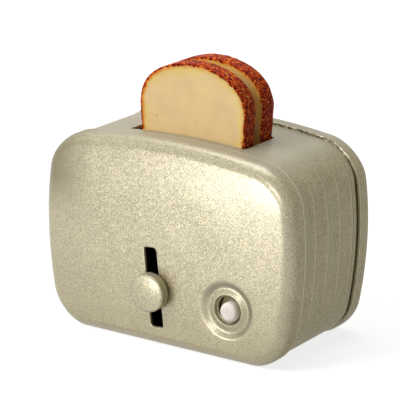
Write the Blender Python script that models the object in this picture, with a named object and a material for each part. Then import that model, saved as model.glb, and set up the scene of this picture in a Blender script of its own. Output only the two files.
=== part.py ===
"""A pretend toaster for a dolls' house, pressed from tinplate, with two slices on a lever.

Metres, +Z up. The origin is on the surface it stands on, under the middle of its overall size.
+X is to the right as seen from the front, and the front faces -Y. The pieces are built round the
casing's own middle and then hung on one empty, because the knob stands out in front of the casing.
"""

import math

import bmesh
import bpy
from mathutils import Matrix, Vector

mm = 0.001

# Clearances and shared working values
assembly_gap = 0.3 * mm     # between pieces that are fastened together
running_gap = 0.3 * mm      # round a piece that slides
overlap = 0.2 * mm          # how far shapes of one piece run into each other
overrun = 1.0 * mm          # how far a cut runs past the wall it cuts
merge_distance = 0.001 * mm

# Casing outline, seen from the front
body_width = 60.0 * mm
body_height = 43.0 * mm
body_depth = 31.0 * mm      # from the front pan's face to the rear pan's face
top_corner_radius = 7.6 * mm
bottom_corner_radius = 7.4 * mm
side_bulge = 2.6 * mm       # how far the sides draw in at the top and the bottom
side_taper = 0.5 * mm       # how much more than that the bottom draws in
top_crown = 2.7 * mm        # how much higher the top is in its middle
corner_steps = 6
side_steps = 8
crown_steps = 5

# Front and rear pans
pan_sheet = 0.6 * mm
pan_flange = 2.3 * mm       # straight part of the wall, back from the seam
pan_edge_radius = 2.5 * mm
edge_steps = 4
pan_tab_x = 11.0 * mm
pan_tab_width = 3.0 * mm
pan_tab_bend = 1.6 * mm
pan_tab_setback = 0.4 * mm  # from the seam to the tab

# Lever slot in the front pan, punched a little off square
slot_x = -2.1 * mm
slot_z = 12.6 * mm
slot_width = 3.0 * mm
slot_length = 16.2 * mm
slot_lean = math.radians(6)
slot_round_corner = 0.9 * mm
slot_sharp_corner = 0.3 * mm
slot_end_gap = 0.4 * mm     # left between the stem and the slot's end at full travel

# Stamped dial in the front pan: a groove round a raised cone with a hole
dial_x = 15.4 * mm
dial_z = 11.2 * mm
dial_radius = 5.6 * mm
dial_groove_depth = 0.9 * mm
dial_hole_radius = 2.75 * mm
dial_steps = 28
dial_radius_shares = (1.0, 0.94, 0.87, 0.81, 0.75, 0.68, 0.6, 0.54)
dial_depth_shares = (0.0, 0.22, 0.75, 1.0, 0.96, 0.55, 0.12, 0.0)

# Centre band
band_sheet = 0.6 * mm
band_recess = 0.4 * mm      # how far the band lies below the pans' flanges
front_seam_width = 0.6 * mm
rear_seam_width = 1.1 * mm  # the open dark gap in front of the rear flange
joggle_run = 0.4 * mm
rim_reach = 1.9 * mm        # how far the band's rims reach under the flanges
flute_count = 4
flute_pitch = 4.7 * mm
flute_depth = 0.45 * mm
flute_top_z = 38.5 * mm
flute_bottom_z = 8.5 * mm
flute_fade = 4.0 * mm
flute_steps = 3
band_foot_length = 3.6 * mm
band_riser_inset = 1.8 * mm  # from the end of the flat underside to the riser
band_screw_y = 6.0 * mm

# Slices and the opening that they stand in
slice_width = 24.6 * mm
slice_height = 26.7 * mm
slice_width_shares = (0.94, 0.965, 0.967, 0.985, 1.0, 0.99, 0.965, 0.93, 0.88, 0.81, 0.72, 0.6,
                      0.45, 0.29, 0.13)
slice_height_shares = (0.0, 0.015, 0.4, 0.55, 0.66, 0.71, 0.755, 0.796, 0.834, 0.87, 0.904, 0.937,
                       0.965, 0.985, 0.997)
slice_thickness = 3.9 * mm
slice_gap = 2.9 * mm        # between the two slices
slice_sunk = 12.4 * mm      # from the crown of the casing down to the slices' feet
slice_x = 1.1 * mm
slice_edge_bevel = 0.4 * mm
slice_clearance = 0.3 * mm
opening_length = 27.4 * mm
opening_corner = 0.5 * mm

# Base plate
base_sheet = 0.8 * mm
base_above_flange = 0.5 * mm
base_pan_gap = 0.5 * mm
screw_radius = 0.8 * mm
screw_head_radius = 1.5 * mm
screw_head_height = 0.5 * mm
screw_slot_width = 0.4 * mm
screw_slot_depth = 0.25 * mm
screw_past_foot = 1.4 * mm
screw_point = 0.5 * mm
round_steps = 12

# Chassis: bread well, legs and post bridge in one folded sheet
chassis_sheet = 0.6 * mm
well_gap = 0.2 * mm         # the well's walls stand this far outside the opening
well_room = 1.3 * mm        # from the slider's back to the well's front wall, for rivet heads
well_flange = 1.2 * mm       # at the well's ends and along its back
flange_seam_gap = 0.7 * mm   # from the band's front joggle to the flange's front edge
well_below_rack = 1.5 * mm
leg_width = 6.0 * mm
leg_foot_length = 3.8 * mm
bridge_below_rim = 1.2 * mm
bridge_sheet = 0.8 * mm
bridge_edge = 0.9 * mm      # metal left outside the post holes

# Guide posts
post_radius = 1.0 * mm
post_spacing = 11.2 * mm
post_from_flange = 0.9 * mm  # from the seam forward to the post's axis
post_chamfer = 0.2 * mm
post_collar_radius = 1.6 * mm
post_collar_height = 0.6 * mm
post_foot_gap = 0.1 * mm

# Slider, rack and what fastens them
slider_sheet = 0.6 * mm
slider_edge = 0.9 * mm
slider_bottom_gap = 0.4 * mm
slider_bar_height = 4.6 * mm
slider_window_width = 6.0 * mm
slider_bar_below_arm = 4.4 * mm
arm_width = 4.0 * mm
arm_head_width = 9.2 * mm
arm_head_depth = 3.8 * mm
rack_sheet = 0.6 * mm
rack_end_gap = 0.7 * mm
rack_side_gap = 0.5 * mm
rack_fin_sheet = 1.0 * mm
rack_fin_height = 5.0 * mm
rack_fin_length = 4.3 * mm
rack_fin_from_end = 0.6 * mm
rivet_radius = 0.7 * mm
rivet_head_radius = 1.2 * mm
rivet_head_height = 0.4 * mm
rack_rivet_spacing = 6.0 * mm

# Friction clip
clip_sheet = 0.35 * mm
clip_height = 5.0 * mm
clip_rivet_below_arm = 1.8 * mm
clip_tail = 3.6 * mm
clip_wrap = math.radians(234)
clip_steps = 14
clip_rivet_from_end = 1.5 * mm

# Lever knob and stem
lever_rest_z = 12.0 * mm
knob_radius = 3.95 * mm
knob_standoff = 0.9 * mm
knob_side = 2.0 * mm
knob_dome = 0.7 * mm
knob_fillet = 0.45 * mm
knob_bore_depth = 1.4 * mm
knob_steps = 24
stem_radius = 0.6 * mm
stem_head_radius = 1.2 * mm
stem_head_height = 0.4 * mm
stem_collar_height = 0.5 * mm

# Push button in the dial
button_x_offset = 0.5 * mm
button_z_offset = -0.3 * mm
button_radius = 1.95 * mm
button_proud = 1.0 * mm
button_fillet = 0.45 * mm
button_collar_radius = 3.3 * mm
button_collar_height = 0.6 * mm
button_stem_radius = 0.9 * mm
button_groove_radius = 0.55 * mm
button_travel = 1.2 * mm
button_tail = 0.6 * mm
button_clip_sheet = 0.4 * mm
button_clip_radius = 1.7 * mm
button_clip_opening = math.radians(70)
spring_wire_radius = 0.2 * mm
spring_radius = 1.55 * mm
spring_turns = 3
spring_points = 10          # in each turn
bracket_sheet = 0.6 * mm
bracket_gap = 0.4 * mm      # from the bracket to the well's front wall
bracket_margin = 3.4 * mm   # from the button's axis to the plate's edges
bracket_arm_height = 6.0 * mm
bracket_foot_width = 3.6 * mm
bracket_foot_length = 4.2 * mm
bracket_foot_gap = 0.4 * mm

# Places that follow from the sizes above
half_depth = body_depth / 2
seam_y = half_depth - pan_flange - pan_edge_radius
band_front_y = -seam_y + front_seam_width
band_rear_y = seam_y - rear_seam_width
post_y = -seam_y - post_from_flange
post_hole_radius = post_radius + running_gap
slider_front_y = post_y + post_radius + running_gap
slider_back_y = slider_front_y + slider_sheet
opening_depth = 2 * slice_thickness + slice_gap + 2 * slice_clearance
opening_front_y = slider_back_y + well_room + chassis_sheet + well_gap
opening_rear_y = opening_front_y + opening_depth
opening_y = (opening_front_y + opening_rear_y) / 2
base_bottom_z = pan_sheet + base_above_flange
base_top_z = base_bottom_z + base_sheet
foot_z = base_top_z + assembly_gap
hole_radius = screw_radius + assembly_gap
travel_down = lever_rest_z - (slot_z - slot_length / 2 + stem_radius + slot_end_gap)
travel_up = (slot_z + slot_length / 2 - stem_radius - slot_end_gap) - lever_rest_z
slice_foot_z = body_height - slice_sunk
rack_top_z = slice_foot_z - assembly_gap
rack_bottom_z = rack_top_z - rack_sheet
arm_top_z = rack_bottom_z - assembly_gap
arm_bottom_z = arm_top_z - slider_sheet
well_half_length = opening_length / 2 + well_gap
well_front_y = opening_front_y - well_gap
well_rear_y = opening_rear_y + well_gap
chassis_front_y = well_front_y - chassis_sheet
chassis_rear_y = well_rear_y + chassis_sheet
chassis_half_length = well_half_length + chassis_sheet
crown_drop = top_crown * ((chassis_half_length + well_flange) / (body_width / 2)) ** 2
well_top_z = body_height - crown_drop - band_recess - band_sheet - assembly_gap
rivet_foot_z = arm_bottom_z - assembly_gap - rivet_head_height
well_bottom_z = rivet_foot_z - travel_down - well_below_rack
bridge_top_z = well_top_z - bridge_below_rim
bridge_bottom_z = bridge_top_z - bridge_sheet
slider_top_z = bridge_bottom_z - running_gap - travel_up
slider_bottom_z = foot_z + pan_sheet + slider_bottom_gap + travel_down
lever_x = slot_x
button_x = dial_x + button_x_offset
button_z = dial_z + button_z_offset
bracket_back_y = chassis_front_y - bracket_gap
bracket_front_y = bracket_back_y - bracket_sheet
button_collar_front_y = -half_depth + dial_groove_depth + pan_sheet + running_gap
button_collar_back_y = button_collar_front_y + button_collar_height
button_clip_front_y = bracket_back_y + running_gap
button_clip_back_y = button_clip_front_y + button_clip_sheet


def clear_scene():
    for obj in list(bpy.data.objects):
        bpy.data.objects.remove(obj, do_unlink=True)


def make_material(name, colour, metallic, roughness):
    material = bpy.data.materials.new(name)
    material.use_nodes = True
    shader = material.node_tree.nodes["Principled BSDF"]
    shader.inputs["Base Color"].default_value = (*colour, 1.0)
    shader.inputs["Metallic"].default_value = metallic
    shader.inputs["Roughness"].default_value = roughness
    material.diffuse_color = (*colour, 1.0)
    return material


def arc(centre, radius, start, end, steps):
    """Points of an arc, both ends included. Angles are in degrees, anticlockwise."""
    angles = [math.radians(start + (end - start) * i / steps) for i in range(steps + 1)]
    return [(centre[0] + radius * math.cos(a), centre[1] + radius * math.sin(a)) for a in angles]


def between(first, last, steps):
    """Points strictly between two points."""
    shares = [i / steps for i in range(1, steps)]
    return [tuple(a + (b - a) * share for a, b in zip(first, last)) for share in shares]


def rectangle(low_x, high_x, low_y, high_y):
    return [(low_x, low_y), (high_x, low_y), (high_x, high_y), (low_x, high_y)]


def rounded_rectangle(width, height, radii, steps):
    """Centred outline. The radii go anticlockwise from the lower right corner."""
    corners = ((1, -1, -90), (1, 1, 0), (-1, 1, 90), (-1, -1, 180))
    points = []
    for (side, level, start), radius in zip(corners, radii):
        centre = (side * (width / 2 - radius), level * (height / 2 - radius))
        points += arc(centre, radius, start, start + 90, steps)
    return points


def drawn_in(point):
    """Bulge the sides and crown the top of the plain rounded rectangle."""
    x, z = point
    half_width = body_width / 2
    level = (z - body_height / 2) / (body_height / 2)
    narrowing = (side_bulge * level**2 - side_taper * level) / half_width
    drop = top_crown * (x / half_width) ** 2 * max(level, 0)
    return (x * (1 - narrowing), z - drop)


def casing_outline():
    """The casing's outline, anticlockwise from the right end of its flat underside."""
    side = body_width / 2
    low = bottom_corner_radius
    high = body_height - top_corner_radius
    right = arc((side - low, low), low, -90, 0, corner_steps)
    right += between((side, low), (side, high), side_steps)
    right += arc((side - top_corner_radius, high), top_corner_radius, 0, 90, corner_steps)
    right += between((side - top_corner_radius, body_height), (0, body_height), crown_steps)
    right = [drawn_in(point) for point in right]
    left = [(-x, z) for x, z in reversed(right)]
    return right + [(0, body_height)] + left


def inward_vectors(points, closed):
    """For each point, the vector that insets the outline by one, mitred at corners."""
    count = len(points)
    vectors = []
    for i, point in enumerate(points):
        before = points[i - 1] if closed or i else None
        after = points[(i + 1) % count] if closed or i < count - 1 else None
        normals = []
        for start, end in ((before, point), (point, after)):
            if start is None or end is None:
                continue
            along = Vector(end) - Vector(start)
            normals.append(Vector((-along.y, along.x)).normalized())
        mean = sum(normals, Vector((0, 0))).normalized()
        vectors.append(mean / mean.dot(normals[0]))
    return vectors


def inset(points, vectors, distance):
    return [(p[0] + v.x * distance, p[1] + v.y * distance) for p, v in zip(points, vectors)]


def mesh_from(bm, name):
    bmesh.ops.remove_doubles(bm, verts=bm.verts, dist=merge_distance)
    bmesh.ops.recalc_face_normals(bm, faces=bm.faces)
    mesh = bpy.data.meshes.new(name)
    bm.to_mesh(mesh)
    bm.free()
    return mesh


def prism(name, outline, start, end, axis):
    """Extrude an outline along an axis. It is (y, z) for X, (x, z) for Y and (x, y) for Z."""
    place = {
        "X": lambda a, b: (start, a, b),
        "Y": lambda a, b: (a, start, b),
        "Z": lambda a, b: (a, b, start),
    }[axis]
    step = Vector([(end - start) * (axis == letter) for letter in "XYZ"])
    bm = bmesh.new()
    face = bm.faces.new([bm.verts.new(place(a, b)) for a, b in outline])
    made = bmesh.ops.extrude_face_region(bm, geom=[face])
    moved = [item for item in made["geom"] if isinstance(item, bmesh.types.BMVert)]
    bmesh.ops.translate(bm, verts=moved, vec=step)
    return mesh_from(bm, name)


def turned(name, profile, centre, axis, steps, smooth_angle=math.radians(35)):
    """Turn (radius, distance along the axis) points, from axis to axis, into a solid."""
    bm = bmesh.new()
    verts = [bm.verts.new((radius, 0, along)) for radius, along in profile]
    edges = [bm.edges.new(pair) for pair in zip(verts, verts[1:])]
    bmesh.ops.spin(
        bm, geom=verts + edges, cent=(0, 0, 0), axis=(0, 0, 1), angle=2 * math.pi,
        steps=steps, use_merge=True,
    )
    mesh = mesh_from(bm, name)
    if axis == "Y":
        mesh.transform(Matrix.Rotation(-math.pi / 2, 4, "X"))
    mesh.transform(Matrix.Translation(centre))
    mesh.shade_smooth()
    mesh.set_sharp_from_angle(angle=smooth_angle)
    return mesh


def cylinder(name, centre, axis, radius, start, end, steps=round_steps):
    """A plain cylinder on the axis through centre, from start to end along it."""
    return turned(name, [(0, start), (radius, start), (radius, end), (0, end)], centre, axis, steps)


def add_empty(name, origin):
    empty = bpy.data.objects.new(name, None)
    empty.empty_display_size = body_width / 4
    empty.location = origin
    bpy.context.collection.objects.link(empty)
    return empty


def add_piece(mesh, material, parent=None, origin=(0, 0, 0)):
    """Make the named object of a mesh that is given in the toaster's own frame."""
    mesh.transform(Matrix.Translation(-Vector(origin)))
    mesh.materials.append(material)
    obj = bpy.data.objects.new(mesh.name, mesh)
    obj.location = Vector(origin) - (parent.location if parent else Vector())
    obj.parent = parent
    bpy.context.collection.objects.link(obj)
    return obj


def combine(obj, mesh, operation):
    """Cut a helper shape from a piece, or join it on, with a Boolean modifier."""
    helper = bpy.data.objects.new(mesh.name, mesh)
    helper.hide_render = True
    helper.display_type = "WIRE"
    bpy.context.collection.objects.link(helper)
    modifier = obj.modifiers.new(mesh.name, "BOOLEAN")
    modifier.operation = operation
    modifier.object = helper


def cut(obj, mesh):
    combine(obj, mesh, "DIFFERENCE")


def join(obj, mesh):
    combine(obj, mesh, "UNION")


def bridge(bm, first, second):
    """Faces between two rings of vertices."""
    for i, vert in enumerate(first):
        j = (i + 1) % len(first)
        bm.faces.new((vert, first[j], second[j], second[i]))


def ring_edges(bm, ring):
    return [bm.edges.get((vert, ring[i - 1])) or bm.edges.new((vert, ring[i - 1]))
            for i, vert in enumerate(ring)]


def pan_shell(name, facing, with_dial):
    """A pressed pan: flange, rounded edge and flat face, in sheet of one thickness.

    facing is -1 for the front pan and 1 for the rear. The inner skin repeats the
    outer one a sheet further in, and the two meet at the flange's edge.
    """
    outline = casing_outline()
    vectors = inward_vectors(outline, closed=True)
    bm = bmesh.new()

    def ring(distance, depth):
        y = facing * (seam_y + depth)
        return [bm.verts.new((x, y, z)) for x, z in inset(outline, vectors, distance)]

    def dial_ring(radius, depth):
        y = facing * (seam_y + depth)
        circle = arc((dial_x, dial_z), radius, 0, 360, dial_steps)[:-1]
        return [bm.verts.new((x, y, z)) for x, z in circle]

    rims, holes = [], []
    for skin in (0, pan_sheet):
        radius = pan_edge_radius - skin
        rings = [ring(skin, 0), ring(skin, pan_flange)]
        for i in range(1, edge_steps + 1):
            angle = math.pi / 2 * i / edge_steps
            rings.append(ring(skin + radius * (1 - math.cos(angle)),
                              pan_flange + radius * math.sin(angle)))
        for first, second in zip(rings, rings[1:]):
            bridge(bm, first, second)
        rims.append(rings[0])
        if not with_dial:
            bm.faces.new(rings[-1])
            continue
        face_depth = pan_flange + pan_edge_radius - skin
        circles = [dial_ring(dial_radius * width, face_depth - dial_groove_depth * depth)
                   for width, depth in zip(dial_radius_shares, dial_depth_shares)]
        circles.append(dial_ring(dial_hole_radius, face_depth))
        for first, second in zip(circles, circles[1:]):
            bridge(bm, first, second)
        edges = ring_edges(bm, rings[-1]) + ring_edges(bm, circles[0])
        bmesh.ops.triangle_fill(bm, use_beauty=True, edges=edges)
        holes.append(circles[-1])
    bridge(bm, *rims)
    if with_dial:
        bridge(bm, *holes)
    mesh = mesh_from(bm, name)
    mesh.shade_smooth()
    mesh.set_sharp_from_angle(angle=math.radians(40))
    return mesh


def add_pan_tabs(pan, facing):
    """Two tabs that pass up through the base plate and are bent over its top."""
    near = facing * (seam_y + pan_tab_setback)
    far = near + facing * pan_sheet
    bent = near + facing * pan_tab_bend
    for side in (-1, 1):
        low_x = side * pan_tab_x - pan_tab_width / 2
        high_x = low_x + pan_tab_width
        tab = [(near, pan_sheet - overlap), (far, pan_sheet - overlap), (far, foot_z),
               (bent, foot_z), (bent, foot_z + pan_sheet), (near, foot_z + pan_sheet)]
        join(pan, prism(f"{pan.name}_tab", tab, low_x, high_x, "X"))


def build_front_pan(material):
    pan = add_piece(pan_shell("front_pan", -1, True), material)
    add_pan_tabs(pan, -1)
    radii = (slot_sharp_corner, slot_round_corner, slot_sharp_corner, slot_round_corner)
    outline = rounded_rectangle(slot_width, slot_length, radii, 4)
    slot = prism("slot_cutter", outline, -half_depth - overrun, -half_depth + pan_sheet + overrun, "Y")
    slot.transform(Matrix.Rotation(-slot_lean, 4, "Y"))
    slot.transform(Matrix.Translation((slot_x, 0, slot_z)))
    cut(pan, slot)


def build_rear_pan(material):
    pan = add_piece(pan_shell("rear_pan", 1, False), material)
    add_pan_tabs(pan, 1)


def band_path():
    """The band's path at the pans' outline, from its right foot over the top to its left foot."""
    outline = casing_outline()
    riser_x = outline[0][0] - band_riser_inset
    lift = foot_z - band_recess
    feet = [(riser_x - band_foot_length, lift), (riser_x, lift), (riser_x, 0)]
    return feet + outline + [(-x, z) for x, z in reversed(feet)]


def riser_face_x():
    """Where the base plate's end meets the band's riser."""
    return band_path()[1][0] + band_recess


def flute_fade_at(z):
    """1 along the flutes, falling smoothly to 0 past their ends."""
    inside = min(z - flute_bottom_z, flute_top_z - z)
    share = min(max(inside / flute_fade, 0), 1)
    return share * share * (3 - 2 * share)


def band_columns():
    """(y, inset, flute share) for each line along the band, from the front rim to the rear rim."""
    rim = pan_sheet + assembly_gap
    columns = [(-seam_y - rim_reach, rim, 0), (band_front_y - joggle_run, rim, 0),
               (band_front_y, band_recess, 0)]
    for flute in range(flute_count):
        start = -seam_y + flute * flute_pitch
        end = start + flute_pitch
        start = max(start, band_front_y + joggle_run / 2)
        for i in range(flute_steps + 1):
            share = i / flute_steps
            if flute and not i:
                continue
            y = start + (end - start) * share
            columns.append((y, band_recess, 4 * share * (1 - share)))
    columns += [(band_rear_y, band_recess, 0), (band_rear_y + joggle_run, rim, 0),
                (seam_y + rim_reach, rim, 0)]
    return columns


def build_centre_band(material):
    """A strip with joggled rims and fluted sides, in sheet of one thickness."""
    path = band_path()
    vectors = inward_vectors(path, closed=False)
    columns = band_columns()
    bm = bmesh.new()
    skins = []
    for skin in (0, band_sheet):
        grid = []
        for point, vector in zip(path, vectors):
            side = flute_fade_at(point[1])
            row = []
            for y, depth, share in columns:
                distance = depth + flute_depth * share * side + skin
                x, z = inset([point], [vector], distance)[0]
                row.append(bm.verts.new((x, y, z)))
            grid.append(row)
        skins.append(grid)
        for first, second in zip(grid, grid[1:]):
            for i in range(len(columns) - 1):
                bm.faces.new((first[i], first[i + 1], second[i + 1], second[i]))
    outer, inner = skins
    outer_edge = outer[0] + [row[-1] for row in outer[1:]] + outer[-1][-2::-1]
    outer_edge += [row[0] for row in outer[-2:0:-1]]
    inner_edge = inner[0] + [row[-1] for row in inner[1:]] + inner[-1][-2::-1]
    inner_edge += [row[0] for row in inner[-2:0:-1]]
    bridge(bm, outer_edge, inner_edge)
    mesh = mesh_from(bm, "centre_band")
    mesh.shade_smooth()
    mesh.set_sharp_from_angle(angle=math.radians(35))
    band = add_piece(mesh, material)
    corners = [opening_corner] * 4
    hole = prism("opening_cutter", rounded_rectangle(opening_length, opening_depth, corners, 3),
                 well_top_z - overrun, body_height + overrun, "Z")
    hole.transform(Matrix.Translation((0, opening_y, 0)))
    cut(band, hole)
    for x, y in band_screw_places():
        cut(band, cylinder("band_screw_hole", (x, y, 0), "Z", hole_radius,
                           foot_z - overrun, foot_z + band_sheet + overrun))


def band_screw_places():
    x = riser_face_x() - band_foot_length / 2 - assembly_gap
    return [(side * x, end * band_screw_y) for side in (-1, 1) for end in (-1, 1)]


def chassis_screw_places():
    x = chassis_half_length - leg_foot_length / 2
    return [(side * x, opening_y) for side in (-1, 1)]


def bracket_foot_x():
    """Middle of the bracket's foot, beside the chassis' right foot."""
    chassis_foot = chassis_half_length - leg_foot_length
    return chassis_foot - bracket_foot_gap - bracket_foot_width / 2


def bracket_screw_place():
    return (bracket_foot_x(), bracket_back_y + bracket_foot_length / 2)


def post_places():
    return {side: (lever_x + sign * post_spacing / 2, post_y)
            for side, sign in (("left", -1), ("right", 1))}


def build_base_plate(material):
    half_width = riser_face_x() - assembly_gap
    front = seam_y + pan_flange + base_pan_gap
    plate = prism("base_plate", rectangle(-half_width, half_width, -front, front),
                  base_bottom_z, base_top_z, "Z")
    plate = add_piece(plate, material)
    low, high = base_bottom_z - overrun, base_top_z + overrun
    for x, y in band_screw_places() + chassis_screw_places() + [bracket_screw_place()]:
        cut(plate, cylinder("screw_hole", (x, y, 0), "Z", hole_radius, low, high))
    for x, y in post_places().values():
        cut(plate, cylinder("post_hole", (x, y, 0), "Z", post_hole_radius, low, high))
    for facing in (-1, 1):
        near = facing * (seam_y + pan_tab_setback - assembly_gap)
        far = facing * (seam_y + pan_tab_setback + pan_sheet + assembly_gap)
        for side in (-1, 1):
            half = pan_tab_width / 2 + assembly_gap
            outline = rectangle(side * pan_tab_x - half, side * pan_tab_x + half,
                                min(near, far), max(near, far))
            cut(plate, prism("tab_slot", outline, low, high, "Z"))


def screw(name, x, y):
    """A slotted pan head screw that points up through the base plate and a foot above it."""
    under_head = base_bottom_z - assembly_gap
    head = under_head - screw_head_height
    tip = foot_z + band_sheet + screw_past_foot
    profile = [(0, head), (screw_head_radius - screw_head_height / 2, head),
               (screw_head_radius, head + screw_head_height / 2),
               (screw_head_radius, under_head), (screw_radius, under_head),
               (screw_radius, tip - screw_point), (0, tip)]
    return turned(name, profile, (x, y, 0), "Z", round_steps)


def build_screws(material):
    places = {f"band_screw_{i + 1}": place for i, place in enumerate(band_screw_places())}
    places |= {f"chassis_screw_{i + 1}": place for i, place in enumerate(chassis_screw_places())}
    places["bracket_screw"] = bracket_screw_place()
    head = base_bottom_z - assembly_gap - screw_head_height
    for name, (x, y) in places.items():
        piece = add_piece(screw(name, x, y), material, origin=(x, y, head))
        reach = screw_head_radius + overrun
        outline = rectangle(x - reach, x + reach, y - screw_slot_width / 2, y + screw_slot_width / 2)
        cut(piece, prism("screw_slot", outline, head - overrun, head + screw_slot_depth, "Z"))


def build_chassis(material):
    """The well is a block that is hollowed last, after flange, bridge and legs are joined on."""
    block = rectangle(-chassis_half_length, chassis_half_length, chassis_front_y, chassis_rear_y)
    chassis = add_piece(prism("chassis", block, well_bottom_z, well_top_z - overlap, "Z"), material)
    flange_half = chassis_half_length + well_flange
    flange = rectangle(-flange_half, flange_half, band_front_y + flange_seam_gap,
                       chassis_rear_y + well_flange)
    join(chassis, prism("well_flange", flange, well_top_z - chassis_sheet, well_top_z, "Z"))
    edge = post_spacing / 2 + post_hole_radius + bridge_edge
    front = post_y - post_hole_radius - bridge_edge
    tongue = rectangle(lever_x - edge, lever_x + edge, front, chassis_front_y + overlap)
    join(chassis, prism("post_bridge", tongue, bridge_bottom_z, bridge_top_z, "Z"))
    low_y, high_y = opening_y - leg_width / 2, opening_y + leg_width / 2
    for side in (-1, 1):
        outer = side * chassis_half_length
        inner = outer - side * chassis_sheet
        toe = outer - side * leg_foot_length
        leg = [(outer, foot_z), (outer, well_bottom_z + overlap), (inner, well_bottom_z + overlap),
               (inner, foot_z + chassis_sheet), (toe, foot_z + chassis_sheet), (toe, foot_z)]
        join(chassis, prism("leg", leg, low_y, high_y, "Y"))
    well = rectangle(-well_half_length, well_half_length, well_front_y, well_rear_y)
    cut(chassis, prism("well_cutter", well, well_bottom_z - overlap, well_top_z + overrun, "Z"))
    half = arm_width / 2 + assembly_gap
    gate = rectangle(lever_x - half, lever_x + half,
                     arm_bottom_z - travel_down - assembly_gap, arm_top_z + travel_up + assembly_gap)
    cut(chassis, prism("arm_gate", gate, chassis_front_y - overlap / 2, well_front_y + overrun, "Y"))
    for x, y in post_places().values():
        cut(chassis, cylinder("bridge_hole", (x, y, 0), "Z", post_hole_radius,
                              bridge_bottom_z - overrun, bridge_top_z + overrun))
    for x, y in chassis_screw_places():
        cut(chassis, cylinder("foot_hole", (x, y, 0), "Z", hole_radius,
                              foot_z - overrun, foot_z + chassis_sheet + overrun))


def build_guide_posts(material):
    """Rods with a collar that rests on the base plate, their ends in plate and bridge."""
    low = base_bottom_z + post_foot_gap
    high = bridge_top_z + assembly_gap
    collar = foot_z + post_collar_height
    profile = [(0, low), (post_radius - post_chamfer, low), (post_radius, low + post_chamfer),
               (post_radius, foot_z), (post_collar_radius, foot_z), (post_collar_radius, collar),
               (post_radius, collar), (post_radius, high - post_chamfer),
               (post_radius - post_chamfer, high), (0, high)]
    for side, (x, y) in post_places().items():
        mesh = turned(f"guide_post_{side}", profile, (x, y, 0), "Z", round_steps)
        add_piece(mesh, material, origin=(x, y, 0))


def build_slider(carriage, material):
    """A folded plate: two ears with post holes, a window behind the slot, and an arm to the rack."""
    edge = post_spacing / 2 + post_hole_radius + slider_edge
    left, right = lever_x - edge, lever_x + edge
    plate = rectangle(left, right, slider_bottom_z, slider_top_z)
    plate = prism("slider", plate, slider_front_y, slider_back_y, "Y")
    slider = add_piece(plate, material, carriage, carriage.location)
    front = post_y - post_hole_radius - slider_edge
    for low in (slider_bottom_z, slider_top_z - slider_sheet):
        ear = rectangle(left, right, front, slider_back_y - overlap)
        join(slider, prism("slider_ear", ear, low, low + slider_sheet, "Z"))
    head_front = opening_y - arm_head_depth / 2
    head_back = opening_y + arm_head_depth / 2
    half, head = arm_width / 2, arm_head_width / 2
    outline = [(-half, slider_front_y + overlap), (half, slider_front_y + overlap),
               (half, head_front), (head, head_front), (head, head_back),
               (-head, head_back), (-head, head_front), (-half, head_front)]
    arm = [(lever_x + x, y) for x, y in outline]
    join(slider, prism("slider_arm", arm, arm_bottom_z, arm_top_z, "Z"))
    low = slider_bottom_z + slider_bar_height
    high = arm_bottom_z - slider_bar_below_arm
    window = rectangle(lever_x - slider_window_width / 2, lever_x + slider_window_width / 2, low, high)
    cut(slider, prism("slider_window", window, slider_front_y - overrun, slider_back_y + overrun, "Y"))
    for x, y in post_places().values():
        cut(slider, cylinder("ear_hole", (x, y, 0), "Z", post_hole_radius,
                             slider_bottom_z - overrun, slider_top_z + overrun))
    cut(slider, cylinder("stem_hole", (lever_x, 0, lever_rest_z), "Y", stem_radius + assembly_gap,
                         slider_front_y - overrun, slider_back_y + overrun))
    for x, y in rack_rivet_places():
        cut(slider, cylinder("arm_hole", (x, y, 0), "Z", rivet_radius + assembly_gap,
                             arm_bottom_z - overrun, arm_top_z + overrun))
    x, z = clip_rivet_place()
    cut(slider, cylinder("clip_hole", (x, 0, z), "Y", rivet_radius + assembly_gap,
                         slider_front_y - overrun, slider_back_y + overrun))


def rack_rivet_places():
    return [(lever_x + side * rack_rivet_spacing / 2, opening_y) for side in (-1, 1)]


def build_rack(carriage, material):
    half = well_half_length - rack_end_gap
    front, back = well_front_y + rack_side_gap, well_rear_y - rack_side_gap
    tray = prism("bread_rack", rectangle(-half, half, front, back), rack_bottom_z, rack_top_z, "Z")
    rack = add_piece(tray, material, carriage, carriage.location)
    for side in (-1, 1):
        outer = side * (half - rack_fin_from_end)
        inner = outer - side * rack_fin_length
        fin = rectangle(min(inner, outer), max(inner, outer),
                        opening_y - rack_fin_sheet / 2, opening_y + rack_fin_sheet / 2)
        join(rack, prism("rack_fin", fin, rack_top_z - overlap, rack_top_z + rack_fin_height, "Z"))
    for x, y in rack_rivet_places():
        cut(rack, cylinder("rack_hole", (x, y, 0), "Z", rivet_radius + assembly_gap,
                           rack_bottom_z - overrun, rack_top_z + overrun))


def rivet_profile(low, high):
    """A rivet whose heads close on the stack between low and high."""
    under, over = low - assembly_gap, high + assembly_gap
    tail, crown = under - rivet_head_height, over + rivet_head_height
    inner = rivet_head_radius - rivet_head_height / 2
    return [(0, tail), (inner, tail), (rivet_head_radius, under - rivet_head_height / 2),
            (rivet_head_radius, under), (rivet_radius, under), (rivet_radius, over),
            (rivet_head_radius, over), (rivet_head_radius, over + rivet_head_height / 2),
            (inner, crown), (0, crown)]


def build_rack_rivets(carriage, material):
    profile = rivet_profile(arm_bottom_z, rack_top_z)
    for side, (x, y) in zip(("left", "right"), rack_rivet_places()):
        mesh = turned(f"rack_rivet_{side}", profile, (x, y, 0), "Z", round_steps)
        add_piece(mesh, material, carriage, (x, y, rack_top_z))


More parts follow.
